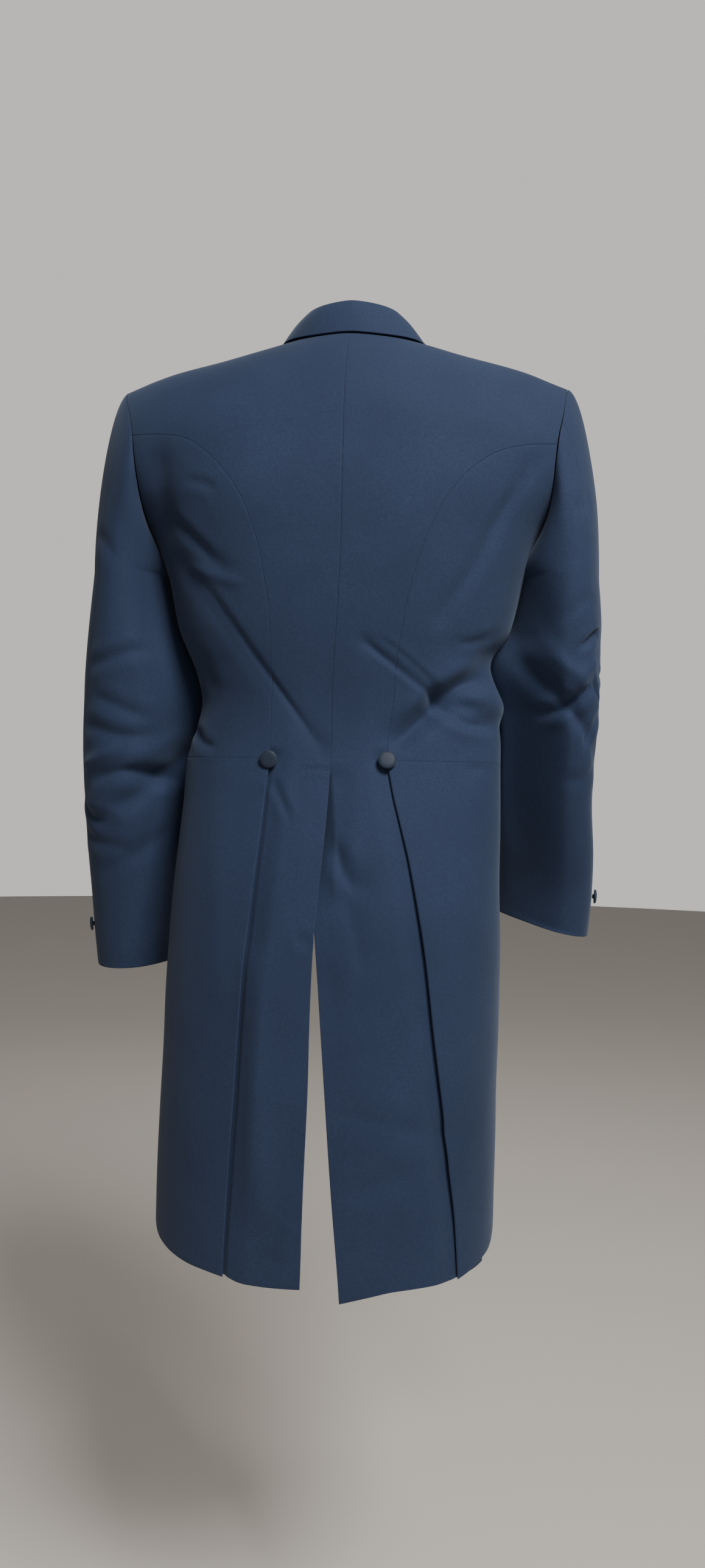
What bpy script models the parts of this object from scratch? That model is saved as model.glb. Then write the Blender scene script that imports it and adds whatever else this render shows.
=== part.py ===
"""A black evening tailcoat, worn: hollow, with its pieces cut, shaped and set as a tailor makes them.

Metres, +Z up. The coat faces -Y, so the wearer's left is +X. The origin is where the coat is held:
on the wearer's centre line, level with the points where the shoulder seams meet the neck.
"""
import math

import bmesh
import bpy
from mathutils import Vector

CLOTH = 0.002            # wall of cloth with its canvas and lining
SEAM_GAP = 0.0003        # clear space between two sewn pieces
SHOULDER_ROUND = 0.11    # how far below the shoulder line the cloth has turned upright
SLOPE_DEPTH = 0.20       # depth at which the shoulders' slope no longer shows
SHOULDER_SLOPE = 0.30
SHOULDER_Z = -0.0040     # the shoulder line's height where it meets the neck
SHOULDER_PAD = 0.003      # how far the pad lifts the shoulder line
NECK_POINT_X = 0.062
OVAL = 2.4               # 2 is an ellipse, more is squarer
WAIST_Z = -0.4345
VENT_TOP_Z = -0.4445

# Each row is one level ring of the coat's outer face: height below the shoulder line, half width on
# the wearer's left and right, depth behind and in front of the shoulder line.
RING_COLUMNS = ("level", "left", "right", "back", "front")
RINGS = (
    (0.000, 0.262, 0.262, 0.107, 0.098),
    (-0.060, 0.258, 0.258, 0.109, 0.104),
    (-0.120, 0.250, 0.250, 0.115, 0.114),
    (-0.160, 0.229, 0.230, 0.118, 0.120),
    (-0.190, 0.2085, 0.211, 0.118, 0.122),
    (-0.215, 0.196, 0.197, 0.116, 0.122),
    (-0.250, 0.182, 0.185, 0.112, 0.120),
    (-0.300, 0.171, 0.1725, 0.103, 0.115),
    (-0.325, 0.160, 0.160, 0.098, 0.1125),
    (-0.345, 0.150, 0.1610, 0.094, 0.110),
    (-0.375, 0.1435, 0.1650, 0.089, 0.107),
    (-0.405, 0.149, 0.1660, 0.088, 0.106),
    (-0.435, 0.158, 0.1665, 0.091, 0.107),
    (-0.480, 0.161, 0.1675, 0.102, 0.110),
    (-0.550, 0.167, 0.168, 0.118, 0.113),
    (-0.640, 0.1725, 0.170, 0.129, 0.113),
    (-0.760, 0.176, 0.169, 0.130, 0.112),
    (-0.850, 0.179, 0.1685, 0.127, 0.110),
    (-0.960, 0.180, 0.168, 0.123, 0.108),
)

# The centre back seam leans a little to the wearer's right above the waist.
SWAY = (
    ("level", "shift"),
    ((0.0, -0.0070), (-0.22, -0.0075), (-0.29, -0.0045), (-0.365, 0.0), (-0.96, 0.0)),
)

# How far out the armhole seam stands at each level.
ARMHOLE_DEPTH = 0.215
ARMHOLE = (
    ("level", "left", "right"),
    (
        (0.0, 0.2265, 0.2265), (-0.02, 0.2232, 0.2225), (-0.06, 0.2130, 0.2180), (-0.09, 0.2068, 0.2135),
        (-0.12, 0.2035, 0.2108), (-0.16, 0.2005, 0.2085), (-0.19, 0.1985, 0.2045), (-0.215, 0.1960, 0.1970),
    ),
)

# Seams and edges on the back, as distance out from the centre at each height.
SIDE_BACK_COLUMNS = ("height", "out")
SIDE_BACK_SEAM = {
    "left": (
        (WAIST_Z, 0.0597), (-0.4098, 0.0604), (-0.3795, 0.0600), (-0.3496, 0.0608), (-0.3200, 0.0632),
        (-0.2911, 0.0664), (-0.2640, 0.0712), (-0.2390, 0.0765), (-0.2186, 0.0823), (-0.1951, 0.0908),
        (-0.1747, 0.1013), (-0.1571, 0.1140), (-0.1424, 0.1278), (-0.1292, 0.1440), (-0.1225, 0.1600),
    ),
    "right": (
        (WAIST_Z, 0.0546), (-0.4019, 0.0567), (-0.3778, 0.0590), (-0.3482, 0.0604), (-0.3116, 0.0630),
        (-0.2798, 0.0668), (-0.2601, 0.0706), (-0.2408, 0.0762), (-0.2181, 0.0838), (-0.1981, 0.0935),
        (-0.1818, 0.1034), (-0.1649, 0.1168), (-0.1507, 0.1330), (-0.1415, 0.1475), (-0.1338, 0.1680),
    ),
}
PLEAT_LINE = (
    ("height", "left", "right"),
    (
        (-0.945, 0.0918, 0.1338), (-0.876, 0.0895, 0.1294), (-0.825, 0.0866, 0.1228),
        (-0.753, 0.0822, 0.1138), (-0.691, 0.0789, 0.1054), (-0.630, 0.0749, 0.0978),
        (-0.582, 0.0710, 0.0895), (-0.532, 0.0667, 0.0791), (-0.501, 0.0642, 0.0708),
        (-0.467, 0.0619, 0.0616), (WAIST_Z, 0.0597, 0.0546),
    ),
)
PLAIT_DEPTH = 0.024      # how far the back runs on under the skirt
VENT_EDGE = (
    ("height", "left", "right"),
    (
        (-0.947, 0.0161, 0.0218), (-0.923, 0.0154, 0.0199), (-0.842, 0.0139, 0.0122),
        (-0.750, 0.0110, 0.0048),
        (-0.672, 0.0102, -0.0016), (-0.6086, 0.0088, -0.0077), (-0.580, 0.0074, -0.0108),
        (-0.522, 0.0030, -0.0165), (-0.4766, 0.0006, -0.0215), (VENT_TOP_Z, 0.0, -0.0250),
    ),
)

# Hems, from the vent out to the pleat, then round the skirt to its corner.
TAIL_HEM = {
    "left": (("out", "height"), ((0.0160, -0.9345), (0.0493, -0.9347), (0.0785, -0.9336), (0.0917, -0.9305))),
    "right": (("out", "height"), (
        (0.0217, -0.9462), (0.0480, -0.9398), (0.0745, -0.9343), (0.1335, -0.9310),
    )),
}
SKIRT_HEM = {
    "left": (
        ("angle", "height"),
        ((46, -0.9282), (53, -0.9263), (59, -0.9234), (65, -0.9195), (74, -0.9120), (81, -0.8990)),
    ),
    "right": (
        ("angle", "height"),
        ((63, -0.9262), (70, -0.9205), (76, -0.9165), (81, -0.9090), (84.5, -0.8985)),
    ),
}
SKIRT_FRONT = (
    ("height", "angle"),
    (
        (-0.878, 87.5), (-0.835, 90.0), (-0.760, 91.5), (-0.680, 93.5), (-0.610, 96.5), (-0.550, 100.0),
        (-0.505, 104.5), (-0.470, 110.5), (-0.447, 118.0), (WAIST_Z, 127.0),
    ),
)
SIDE_SEAM_ANGLE = 99.0

# The front's edge: the lapel's fold line from the neck down to the break, then the free edge.
FRONT_EDGE = (
    ("height", "out"),
    (
        (-0.468, 0.0580), (-0.440, 0.0600), (-0.400, 0.0620), (-0.355, 0.0645), (-0.300, 0.0700),
        (-0.240, 0.0762), (-0.180, 0.0815), (-0.120, 0.0850), (-0.070, 0.0855), (-0.035, 0.0810),
        (-0.012, 0.0740),
    ),
)
FRONT_POINT = (0.058, -0.468)
FRONT_BOTTOM = (("out", "height"), ((0.103, -0.4395), (0.087, -0.4465), (0.071, -0.4568)))

# Lapels: the turned-back cloth, from its break to the peak.
BREAK_Z = -0.352
GORGE_Z = -0.074
LAPEL_EDGE = (
    ("height", "out"),
    (
        (BREAK_Z, 0.0685), (-0.325, 0.0850), (-0.290, 0.0990), (-0.250, 0.1115), (-0.205, 0.1235),
        (-0.160, 0.1345), (-0.115, 0.1450), (-0.080, 0.1535), (-0.050, 0.1600),
    ),
)
LAPEL_TOP = (
    ("out", "height"),
    (
        (0.0820, -0.0742), (0.0855, -0.0740), (0.1000, -0.0715), (0.1165, -0.0682),
        (0.1290, -0.0645), (0.1430, -0.0585), (0.1600, -0.0500),
    ),
)
LAPEL_PROFILE = (
    ("across", "lift"),
    (
        (-0.0023, -0.0020), (-0.0026, 0.0006), (-0.0014, 0.0032),
        (0.0020, 0.0047), (0.0090, 0.0048), (0.0300, 0.0040),
    ),
)
LAPEL_LIFT = 0.0031

# Collar: how high its fold stands and how far its leaf reaches down, from the centre back to its end.
COLLAR_COLUMNS = ("along", "fold_up", "fold_in", "leaf_out", "leaf_lift")
COLLAR = (
    (0.00, 0.0300, 0.0060, 0.0105, 0.0036),
    (0.20, 0.0296, 0.0090, 0.0105, 0.0036),
    (0.40, 0.0280, 0.0150, 0.0115, 0.0036),
    (0.55, 0.0235, 0.0175, 0.0130, 0.0037),
    (0.70, 0.0160, 0.0110, 0.0180, 0.0040),
    (0.85, 0.0095, 0.0040, 0.0250, 0.0044),
    (1.00, 0.0060, 0.0000, 0.0310, 0.0048),
)

# Sleeves: rings along the arm. The lean carries a ring's front in towards the body.
ARM_COLUMNS = ("height", "centre_x", "centre_y", "half_width", "half_depth", "lean")
ARMS = {
    "left": (
        (-0.245, 0.2238, -0.002, 0.0358, 0.0700, 0.00),
        (-0.300, 0.2214, -0.004, 0.0444, 0.0665, 0.04),
        (-0.345, 0.2129, -0.007, 0.0569, 0.0640, 0.10),
        (-0.375, 0.2104, -0.011, 0.0609, 0.0630, 0.13),
        (-0.405, 0.2138, -0.015, 0.0588, 0.0615, 0.14),
        (-0.435, 0.2184, -0.020, 0.0544, 0.0610, 0.15),
        (-0.470, 0.2184, -0.027, 0.0550, 0.0600, 0.15),
        (-0.540, 0.2208, -0.042, 0.0520, 0.0580, 0.12),
        (-0.600, 0.2213, -0.055, 0.0490, 0.0565, 0.10),
        (-0.654, 0.2194, -0.066, 0.0480, 0.0565, 0.10),
    ),
    "right": (
        (-0.245, 0.2264, -0.002, 0.0354, 0.0700, 0.02),
        (-0.300, 0.2216, -0.006, 0.0431, 0.0665, 0.12),
        (-0.325, 0.2141, -0.009, 0.0481, 0.0655, 0.22),
        (-0.345, 0.2138, -0.012, 0.0468, 0.0645, 0.29),
        (-0.375, 0.2151, -0.018, 0.0441, 0.0630, 0.34),
        (-0.405, 0.2142, -0.025, 0.0422, 0.0625, 0.38),
        (-0.460, 0.2123, -0.042, 0.0430, 0.0600, 0.42),
        (-0.520, 0.2167, -0.061, 0.0440, 0.0585, 0.42),
        (-0.560, 0.2176, -0.075, 0.0450, 0.0575, 0.40),
        (-0.603, 0.2148, -0.088, 0.0460, 0.0570, 0.38),
    ),
}
CUFF_DROP = {"left": 0.004, "right": 0.010}     # the cuff is cut longer at its outer side
SLEEVE_HEAD = 0.013      # how far the shoulder runs on before the sleeve falls

# Armhole stations, a twentieth of a turn each, counted from the shoulder down the back and up the front.
STATIONS = 20
SIDE_BACK_STATION = 5
SIDE_SEAM_STATION = 11
HIND_STATION = 4
FORE_STATION = 14
SIDE_BACK_TURN = {"left": 0.228, "right": 0.244}

# Where the sleeve seams are round the arm, as a share of a turn, at each distance down the sleeve.
SEAM_COLUMNS = ("down", "turn")
HIND_TURN = {
    "left": ((0.0, 0.195), (1.0, 0.160), (1.4, 0.100), (2.0, 0.030)),
    "right": ((0.0, 0.195), (1.0, 0.165), (1.4, 0.125), (2.0, 0.050)),
}
FORE_TURN = ((0.0, 0.700), (1.0, 0.690), (2.0, 0.660))

# Large soft folds on the body: ends as (out, height) on the wearer's left or right, how deep, how wide.
FOLD_COLUMNS = ("out_a", "height_a", "out_b", "height_b", "depth", "width")
BACK_FOLDS = {
    "right": (
        (0.148, -0.342, 0.068, -0.408, -0.0080, 0.016),
        (0.034, -0.324, 0.099, -0.367, -0.0026, 0.007),
        (0.100, -0.370, 0.150, -0.392, -0.0050, 0.010),
        (0.147, -0.372, 0.160, -0.376, 0.0040, 0.012),
        (0.186, -0.150, 0.105, -0.294, -0.0026, 0.009),
        (0.012, -0.527, 0.031, -0.549, -0.0025, 0.010),
    ),
    "left": (
        (0.155, -0.243, 0.014, -0.418, -0.0024, 0.009),
        (0.176, -0.153, 0.176, -0.205, -0.0050, 0.014),
        (0.164, -0.204, 0.114, -0.247, -0.0020, 0.008),
        (0.068, -0.636, 0.056, -0.855, 0.0030, 0.014),
        (0.113, -0.500, 0.105, -0.640, 0.0022, 0.018),
    ),
}

# Large folds on the sleeves: share of a turn, height, length round, depth, width.
SLEEVE_FOLD_COLUMNS = ("turn", "height", "round_half", "slant", "depth", "width")
SLEEVE_FOLDS = {
    "left": (
        (0.34, -0.455, 0.13, 0.030, -0.0075, 0.014),
        (0.30, -0.430, 0.12, 0.030, 0.0030, 0.011),
        (0.32, -0.520, 0.12, 0.020, -0.0035, 0.012),
        (0.16, -0.225, 0.07, 0.000, -0.0025, 0.010),
    ),
    "right": (
        (0.27, -0.362, 0.12, 0.040, -0.0075, 0.013),
        (0.24, -0.335, 0.10, 0.030, 0.0030, 0.010),
        (0.12, -0.305, 0.06, 0.000, -0.0030, 0.009),
        (0.18, -0.180, 0.08, 0.040, -0.0035, 0.014),
    ),
}

BUTTON_RADIUS = 0.009
CUFF_BUTTON_RADIUS = 0.0075
FRONT_BUTTONS = (("out", "height"), ((0.121, -0.298), (0.110, -0.340), (0.102, -0.382)))
BUTTON_PROFILE = (
    ("radius", "height"),
    (
        (0.0, 0.62), (0.40, 0.58), (0.72, 0.46), (0.93, 0.28), (1.0, 0.12), (0.95, 0.0),
        (0.40, -0.02), (0.32, -0.26), (0.0, -0.26),
    ),
)
BUTTON_SIDES = 14
BUTTON_SHANK = 0.26      # shank below the button's back, as a share of its radius

CLOTH_COLOUR = (0.030, 0.045, 0.075, 1.0)
SATIN_COLOUR = (0.012, 0.016, 0.025, 1.0)
SIDES = {"left": 1, "right": -1}


def smooth_step(low, high, value):
    """0 below low, 1 above high, and an S between; low may be the larger number."""
    share = min(1.0, max(0.0, (value - low) / (high - low)))
    return share * share * (3 - 2 * share)


def read(rows, column, at):
    """A table's column, as a smooth curve through its rows, read at a value of its first column."""
    rows = sorted(rows)
    keys = [row[0] for row in rows]
    at = min(max(at, keys[0]), keys[-1])
    index = max(i for i in range(len(keys) - 1) if keys[i] <= at)

    def slope(i):
        low, high = max(i - 1, 0), min(i + 1, len(keys) - 1)
        return (rows[high][column] - rows[low][column]) / (keys[high] - keys[low])

    span = keys[index + 1] - keys[index]
    t = (at - keys[index]) / span
    start, end = rows[index][column], rows[index + 1][column]
    return (
        start * (2 * t**3 - 3 * t**2 + 1)
        + slope(index) * span * (t**3 - 2 * t**2 + t)
        + end * (3 * t**2 - 2 * t**3)
        + slope(index + 1) * span * (t**3 - t**2)
    )


def shoulder_rise(out):
    """How far the shoulder line stands above or below the neck point, at a distance from the centre."""
    soft = 0.02
    fall = SHOULDER_SLOPE * (math.hypot(NECK_POINT_X, soft) - math.hypot(out, soft))
    return SHOULDER_Z + fall + SHOULDER_PAD * math.exp(-(((out - 0.18) / 0.04) ** 2))


def slope_share(level):
    return max(0.0, 1 + level / SLOPE_DEPTH)


def level_of(out, height):
    """The ring level that passes through a height, at a distance from the centre."""
    rise = shoulder_rise(out)
    level = (height - rise) / (1 + rise / SLOPE_DEPTH)
    return level if level > -SLOPE_DEPTH else height


def run_of(level):
    """Distance over the cloth from the shoulder line down to a level."""
    if level > -SHOULDER_ROUND:
        return SHOULDER_ROUND * math.acos(1 + min(0.0, level) / SHOULDER_ROUND)
    return SHOULDER_ROUND * math.pi / 2 - SHOULDER_ROUND - level


def level_at(run):
    turned = abs(run) / SHOULDER_ROUND
    if turned < math.pi / 2:
        return -SHOULDER_ROUND * (1 - math.cos(turned))
    return SHOULDER_ROUND * math.pi / 2 - SHOULDER_ROUND - abs(run)


def ring(level, side, front):
    half = read(RINGS, RING_COLUMNS.index(side), level)
    depth = read(RINGS, RING_COLUMNS.index("front" if front else "back"), level)
    return half, depth


def on_back(out, height, side):
    """A place on the coat (angle from the centre back, run from the shoulder), seen from behind."""
    level = level_of(abs(out), height)
    half, depth = ring(level, side, False)
    share = min(1.0, abs(out) / half)
    angle = math.degrees(math.atan2(abs(out), depth * (1 - share**OVAL) ** (1 / OVAL)))
    return math.copysign(angle, out), run_of(level)


def on_front(out, height, side):
    """The same, seen from in front."""
    level = level_of(out, height)
    half, depth = ring(level, side, True)
    share = min(1.0, out / half)
    return 180 - math.degrees(math.atan2(out, depth * (1 - share**OVAL) ** (1 / OVAL))), run_of(level)


def at_angle(angle, height):
    """A place at an angle and a height below the shoulders' slope."""
    return angle, run_of(height)


def fold_depth(spot, folds):
    """Height of the folds at an (out, height) spot: each is a ridge or trough that fades at its ends."""
    total = 0.0
    for out_a, height_a, out_b, height_b, depth, width in folds:
        along = (out_b - out_a, height_b - height_a)
        length = math.hypot(*along)
        unit = (along[0] / length, along[1] / length)
        offset = (spot[0] - out_a, spot[1] - height_a)
        forward = offset[0] * unit[0] + offset[1] * unit[1]
        across = offset[0] * unit[1] - offset[1] * unit[0]
        beyond = max(0.0, -forward, forward - length)
        total += depth * math.exp(-((across / width) ** 2) - (beyond / (1.5 * width)) ** 2)
    return total


def bare_form(angle, run, side):
    """The coat's outer face without folds. The angle goes from the centre back round to the front."""
    level = level_at(run)
    turn = math.radians(angle)
    front = abs(angle) > 90
    half, depth = ring(level, side, front)
    reach = (abs(math.sin(turn) / half) ** OVAL + abs(math.cos(turn) / depth) ** OVAL) ** (-1 / OVAL)
    out = reach * math.sin(turn)
    turned = abs(run) / SHOULDER_ROUND
    forward = math.sin(turned) if turned < math.pi / 2 else 1.0
    back = reach * math.cos(turn) * forward * (1 if run >= 0 else -1)
    height = level + shoulder_rise(abs(out)) * slope_share(level)
    sway = read(SWAY[1], 1, level) * (1 - min(1.0, abs(out) / 0.2) ** 2)
    return Vector((SIDES[side] * out + sway, back, height))


def normal_of(surface, a, b, outward, step_a=0.05, step_b=0.0005):
    """The outward normal of a surface function at (a, b); outward is a rough guide to its sign."""
    along_a = surface(a + step_a, b) - surface(a - step_a, b)
    along_b = surface(a, b + step_b) - surface(a, b - step_b)
    normal = along_a.cross(along_b).normalized()
    return normal if normal.dot(outward) > 0 else -normal


def form_normal(angle, run, side):
    point = bare_form(angle, run, side)
    outward = Vector((point.x, point.y, 0.25 * max(0.0, 0.12 - run)))
    if run < 0.03:
        outward = Vector((0.2 * SIDES[side], 0, 1))
    return normal_of(lambda a, b: bare_form(a, b, side), angle, max(run, 0.0006), outward)


def form(angle, run, side, lift=0.0):
    """A point of the coat's outer face, moved out by a lift; folds show on the back half."""
    point = bare_form(angle, run, side)
    if abs(angle) < 100:
        folds = BACK_FOLDS[side if angle >= 0 else ("right" if side == "left" else "left")]
        lift += fold_depth((abs(point.x), point.z), folds)
    return point + form_normal(angle, run, side) * lift


def seam(curve, count):
    """Evenly spaced places along a curve given as a function of 0 to 1."""
    return [curve(i / count) for i in range(count + 1)]


def along_places(places):
    """A curve through places, as a function of 0 to 1 that moves at an even pace."""
    lengths = [0.0]
    for before, after in zip(places, places[1:]):
        lengths.append(lengths[-1] + math.hypot((after[0] - before[0]) / 450, after[1] - before[1]))

    def curve(share):
        rows = [(length, *place) for length, place in zip(lengths, places)]
        return tuple(read(rows, column, share * lengths[-1]) for column in (1, 2))

    return curve


def station_turn(station, side):
    """Share of a turn at an armhole station; the side-back seam's station stands where its seam ends."""
    seam_turn = SIDE_BACK_TURN[side]
    if station <= SIDE_BACK_STATION:
        return station / SIDE_BACK_STATION * seam_turn
    return seam_turn + (station - SIDE_BACK_STATION) / (STATIONS - SIDE_BACK_STATION) * (1 - seam_turn)


def armhole_place(turn, side):
    """Angle and run on the coat's face of a point of the armhole, at a share of a turn from the shoulder."""
    turn %= 1.0
    level = -ARMHOLE_DEPTH * (1 - math.cos(2 * math.pi * turn)) / 2
    half, depth = ring(level, side, turn > 0.5)
    out = min(read(ARMHOLE[1], 1 if side == "left" else 2, level), half)
    angle = math.degrees(math.atan2(out, depth * max(0.0, 1 - (out / half) ** OVAL) ** (1 / OVAL)))
    return (180 - angle if turn > 0.5 else angle), run_of(level)


def stations(first, last, side):
    step = 1 if last > first else -1
    return [armhole_place(station_turn(i, side), side) for i in range(first, last + step, step)]


def tidy_interior(bottom, top, left, right):
    """Fills a four-sided patch from its edges, as a grid of places [column][row]."""
    columns, rows = len(bottom) - 1, len(left) - 1
    grid = []
    for i in range(columns + 1):
        u = i / columns
        column = []
        for j in range(rows + 1):
            v = j / rows
            column.append(tuple(
                (1 - v) * bottom[i][k] + v * top[i][k] + (1 - u) * left[j][k] + u * right[j][k]
                - (1 - u) * (1 - v) * bottom[0][k] - u * (1 - v) * bottom[-1][k]
                - (1 - u) * v * top[0][k] - u * v * top[-1][k]
                for k in (0, 1)
            ))
        grid.append(column)
    return grid


def inset(points, gap):
    """Draws a panel's edges in by half a seam gap, along its own face."""
    columns, rows = len(points), len(points[0])
    moved = [[point.copy() for point in column] for column in points]

    def draw_in(i, j, towards, before, after):
        edge = (after - before).normalized()
        inward = towards - points[i][j]
        inward -= edge * inward.dot(edge)
        moved[i][j] += inward.normalized() * gap

    for j in range(rows):
        low, high = max(j - 1, 0), min(j + 1, rows - 1)
        draw_in(0, j, points[1][j], points[0][low], points[0][high])
        draw_in(columns - 1, j, points[-2][j], points[-1][low], points[-1][high])
    for i in range(columns):
        low, high = max(i - 1, 0), min(i + 1, columns - 1)
        draw_in(i, 0, points[i][1], points[low][0], points[high][0])
        draw_in(i, rows - 1, points[i][-2], points[low][-1], points[high][-1])
    return moved


def add_wall(name, outer, inner, material, collection):
    """A closed wall of cloth: a grid laid on the outer points, extruded to the inner ones."""
    columns, rows = len(outer) - 1, len(outer[0]) - 1
    mesh = bpy.data.meshes.new(name)
    bm = bmesh.new()
    bmesh.ops.create_grid(bm, x_segments=columns, y_segments=rows, size=0.5)
    face_side = bm.verts[:]
    extruded = bmesh.ops.extrude_face_region(bm, geom=bm.faces[:], use_keep_orig=True)
    back_side = [item for item in extruded["geom"] if isinstance(item, bmesh.types.BMVert)]
    for verts, points in ((face_side, outer), (back_side, inner)):
        for vert in verts:
            i = round((vert.co.x + 0.5) * columns)
            j = round((vert.co.y + 0.5) * rows)
            vert.co = points[i][j]
    bmesh.ops.triangulate(bm, faces=[face for face in bm.faces if len(face.verts) > 3])
    bmesh.ops.recalc_face_normals(bm, faces=bm.faces)
    if bm.calc_volume(signed=True) < 0:
        bmesh.ops.reverse_faces(bm, faces=bm.faces)
    bm.to_mesh(mesh)
    bm.free()
    mesh.materials.append(material)
    mesh.shade_smooth()
    mesh.set_sharp_from_angle(angle=math.radians(40))
    piece = bpy.data.objects.new(name, mesh)
    collection.objects.link(piece)
    return piece


def body_panel(name, side, edges, material, collection, lift=lambda angle, run: 0.0):
    """One panel of the body: a patch between its four edges, on the coat's face, with its wall inside."""
    grid = tidy_interior(*edges)
    outer = [[form(angle, run, side, lift(angle, run)) for angle, run in column] for column in grid]
    normals = [[form_normal(angle, run, side) for angle, run in column] for column in grid]
    outer = inset(outer, SEAM_GAP * 0.6)
    inner = [
        [point - normal * CLOTH for point, normal in zip(*pair)]
        for pair in zip(outer, normals)
    ]
    return add_wall(name, outer, inner, material, collection)


def side_back_places(side):
    """The curved seam beside the back, from the waist up to the armhole."""
    places = [on_back(out, height, side) for height, out in SIDE_BACK_SEAM[side]]
    return places + [armhole_place(SIDE_BACK_TURN[side], side)]


SIDE_BACK_COUNT = 15
SIDE_SEAM_COUNT = 15
WAIST_SIDE_COUNT = SIDE_SEAM_STATION - SIDE_BACK_STATION
WAIST_FRONT_COUNT = 4
BOTTOM_COUNT = 3
SHOULDER_COUNT = WAIST_FRONT_COUNT + BOTTOM_COUNT
NECK_COUNT = 4
TAIL_COUNT = 14
SKIRT_TOP_COUNT = WAIST_SIDE_COUNT + WAIST_FRONT_COUNT


def nape_place():
    return 0.0, 0.0585


def neck_curve(share, side):
    """Back neck edge from the nape (0) to the shoulder's neck point (1)."""
    end = on_back(NECK_POINT_X, shoulder_rise(NECK_POINT_X), side)[0]
    return end * share, nape_place()[1] * math.sqrt(max(0.0, 1 - share**2.2))


def shoulder_places(side, back):
    """The shoulder seam from the neck point out to the armhole."""
    surface = on_back if back else on_front
    tip_out = ARMHOLE[1][0][1]
    neck, tip = (surface(out, shoulder_rise(out), side)[0] for out in (NECK_POINT_X, tip_out))
    return [(neck + (tip - neck) * i / SHOULDER_COUNT, 0.0) for i in range(SHOULDER_COUNT + 1)]


def tail_heights(top, bottom):
    """Rows of the tail, from the hem up: even, with one close below the waist."""
    close = 0.010
    return [bottom + (top - close - bottom) * i / (TAIL_COUNT - 1) for i in range(TAIL_COUNT)] + [top]


def pleat_out(height, side):
    return read(PLEAT_LINE[1], 1 if side == "left" else 2, height)


def back_edges(side):
    """Edges of a back panel, which runs from the nape to the hem in one piece."""
    column = 1 if side == "left" else 2
    hem = TAIL_HEM[side][1]
    inner_rows = tail_heights(VENT_TOP_Z, hem[0][1])
    left = []
    for height in inner_rows[:-1]:
        out = read(VENT_EDGE[1], column, height)
        left.append(on_back(out, height, side))
    left.append((0.0, run_of(WAIST_Z)))
    corner_run = run_of(-0.175)
    waist_run = run_of(WAIST_Z)
    for i in range(1, SIDE_BACK_COUNT + 1):
        left.append((0.0, waist_run + (corner_run - waist_run) * i / SIDE_BACK_COUNT))
    for i in range(1, SIDE_BACK_STATION + 1):
        left.append((0.0, corner_run + (nape_place()[1] - corner_run) * i / SIDE_BACK_STATION))
    right = []
    for height in tail_heights(WAIST_Z, hem[-1][1] + 0.003)[:-1]:
        reach = PLAIT_DEPTH * smooth_step(WAIST_Z, WAIST_Z - 0.03, height)
        right.append(on_back(pleat_out(height, side) + reach + 0.004, height, side))
    right += seam(along_places(side_back_places(side)), SIDE_BACK_COUNT)
    right += stations(SIDE_BACK_STATION, 0, side)[1:]
    columns = NECK_COUNT + SHOULDER_COUNT
    bottom = seam(along_places([on_back(out, height, side) for out, height in hem] + [right[0]]), columns)
    top = [neck_curve(i / NECK_COUNT, side) for i in range(NECK_COUNT)] + shoulder_places(side, True)
    return bottom, top, left, right


def back_lift(side):
    """The back drops under the skirt beside the pleat and, on the right, under the vent's edge."""
    drop_at_pleat = 0.0030
    pleat_gape = 0.0025
    vent_drop = 0.0030

    def lift(angle, run):
        level = level_at(run)
        point = bare_form(angle, run, side)
        out = SIDES[side] * point.x
        below_waist = smooth_step(-0.395, WAIST_Z + 0.002, level)
        gape = pleat_gape * smooth_step(-0.47, -0.62, level) * smooth_step(-0.93, -0.80, level)
        edge = pleat_out(min(level, WAIST_Z), side)
        near_pleat = smooth_step(edge - 0.024, edge - 0.002, out)
        total = -(drop_at_pleat * below_waist + gape) * near_pleat
        if side == "right":
            over = smooth_step(-0.405, VENT_TOP_Z + 0.010, level)
            over *= 1 - 0.8 * smooth_step(-0.62, -0.75, level)
            total -= vent_drop * over * smooth_step(0.030, 0.003, out)
        return total

    return lift


def side_body_edges(side):
    left = seam(along_places(side_back_places(side)), SIDE_BACK_COUNT)
    top = stations(SIDE_BACK_STATION, SIDE_SEAM_STATION, side)
    right = side_seam_places(side)
    bottom = waist_places(side)[: WAIST_SIDE_COUNT + 1]
    return bottom, top, left, right


def side_seam_places(side):
    """The under-arm seam from the waist up to the armhole."""
    top = armhole_place(station_turn(SIDE_SEAM_STATION, side), side)
    waist = at_angle(SIDE_SEAM_ANGLE, WAIST_Z)
    shares = [i / SIDE_SEAM_COUNT for i in range(SIDE_SEAM_COUNT + 1)]
    return [tuple(low + (high - low) * share for low, high in zip(waist, top)) for share in shares]


def waist_places(side):
    """The waist seam from the side-back seam round to the front of the skirt."""
    start = on_back(SIDE_BACK_SEAM[side][0][1], WAIST_Z, side)
    run = run_of(WAIST_Z)
    front_end = SKIRT_FRONT[1][-1][1]
    behind, before = SIDE_SEAM_ANGLE - start[0], front_end - SIDE_SEAM_ANGLE
    angles = [start[0] + behind * i / WAIST_SIDE_COUNT for i in range(WAIST_SIDE_COUNT + 1)]
    angles += [SIDE_SEAM_ANGLE + before * i / WAIST_FRONT_COUNT for i in range(1, WAIST_FRONT_COUNT + 1)]
    return [(angle, run) for angle in angles]


def front_edge_place(height, side):
    return on_front(read(FRONT_EDGE[1], 1, height), height, side)


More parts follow.
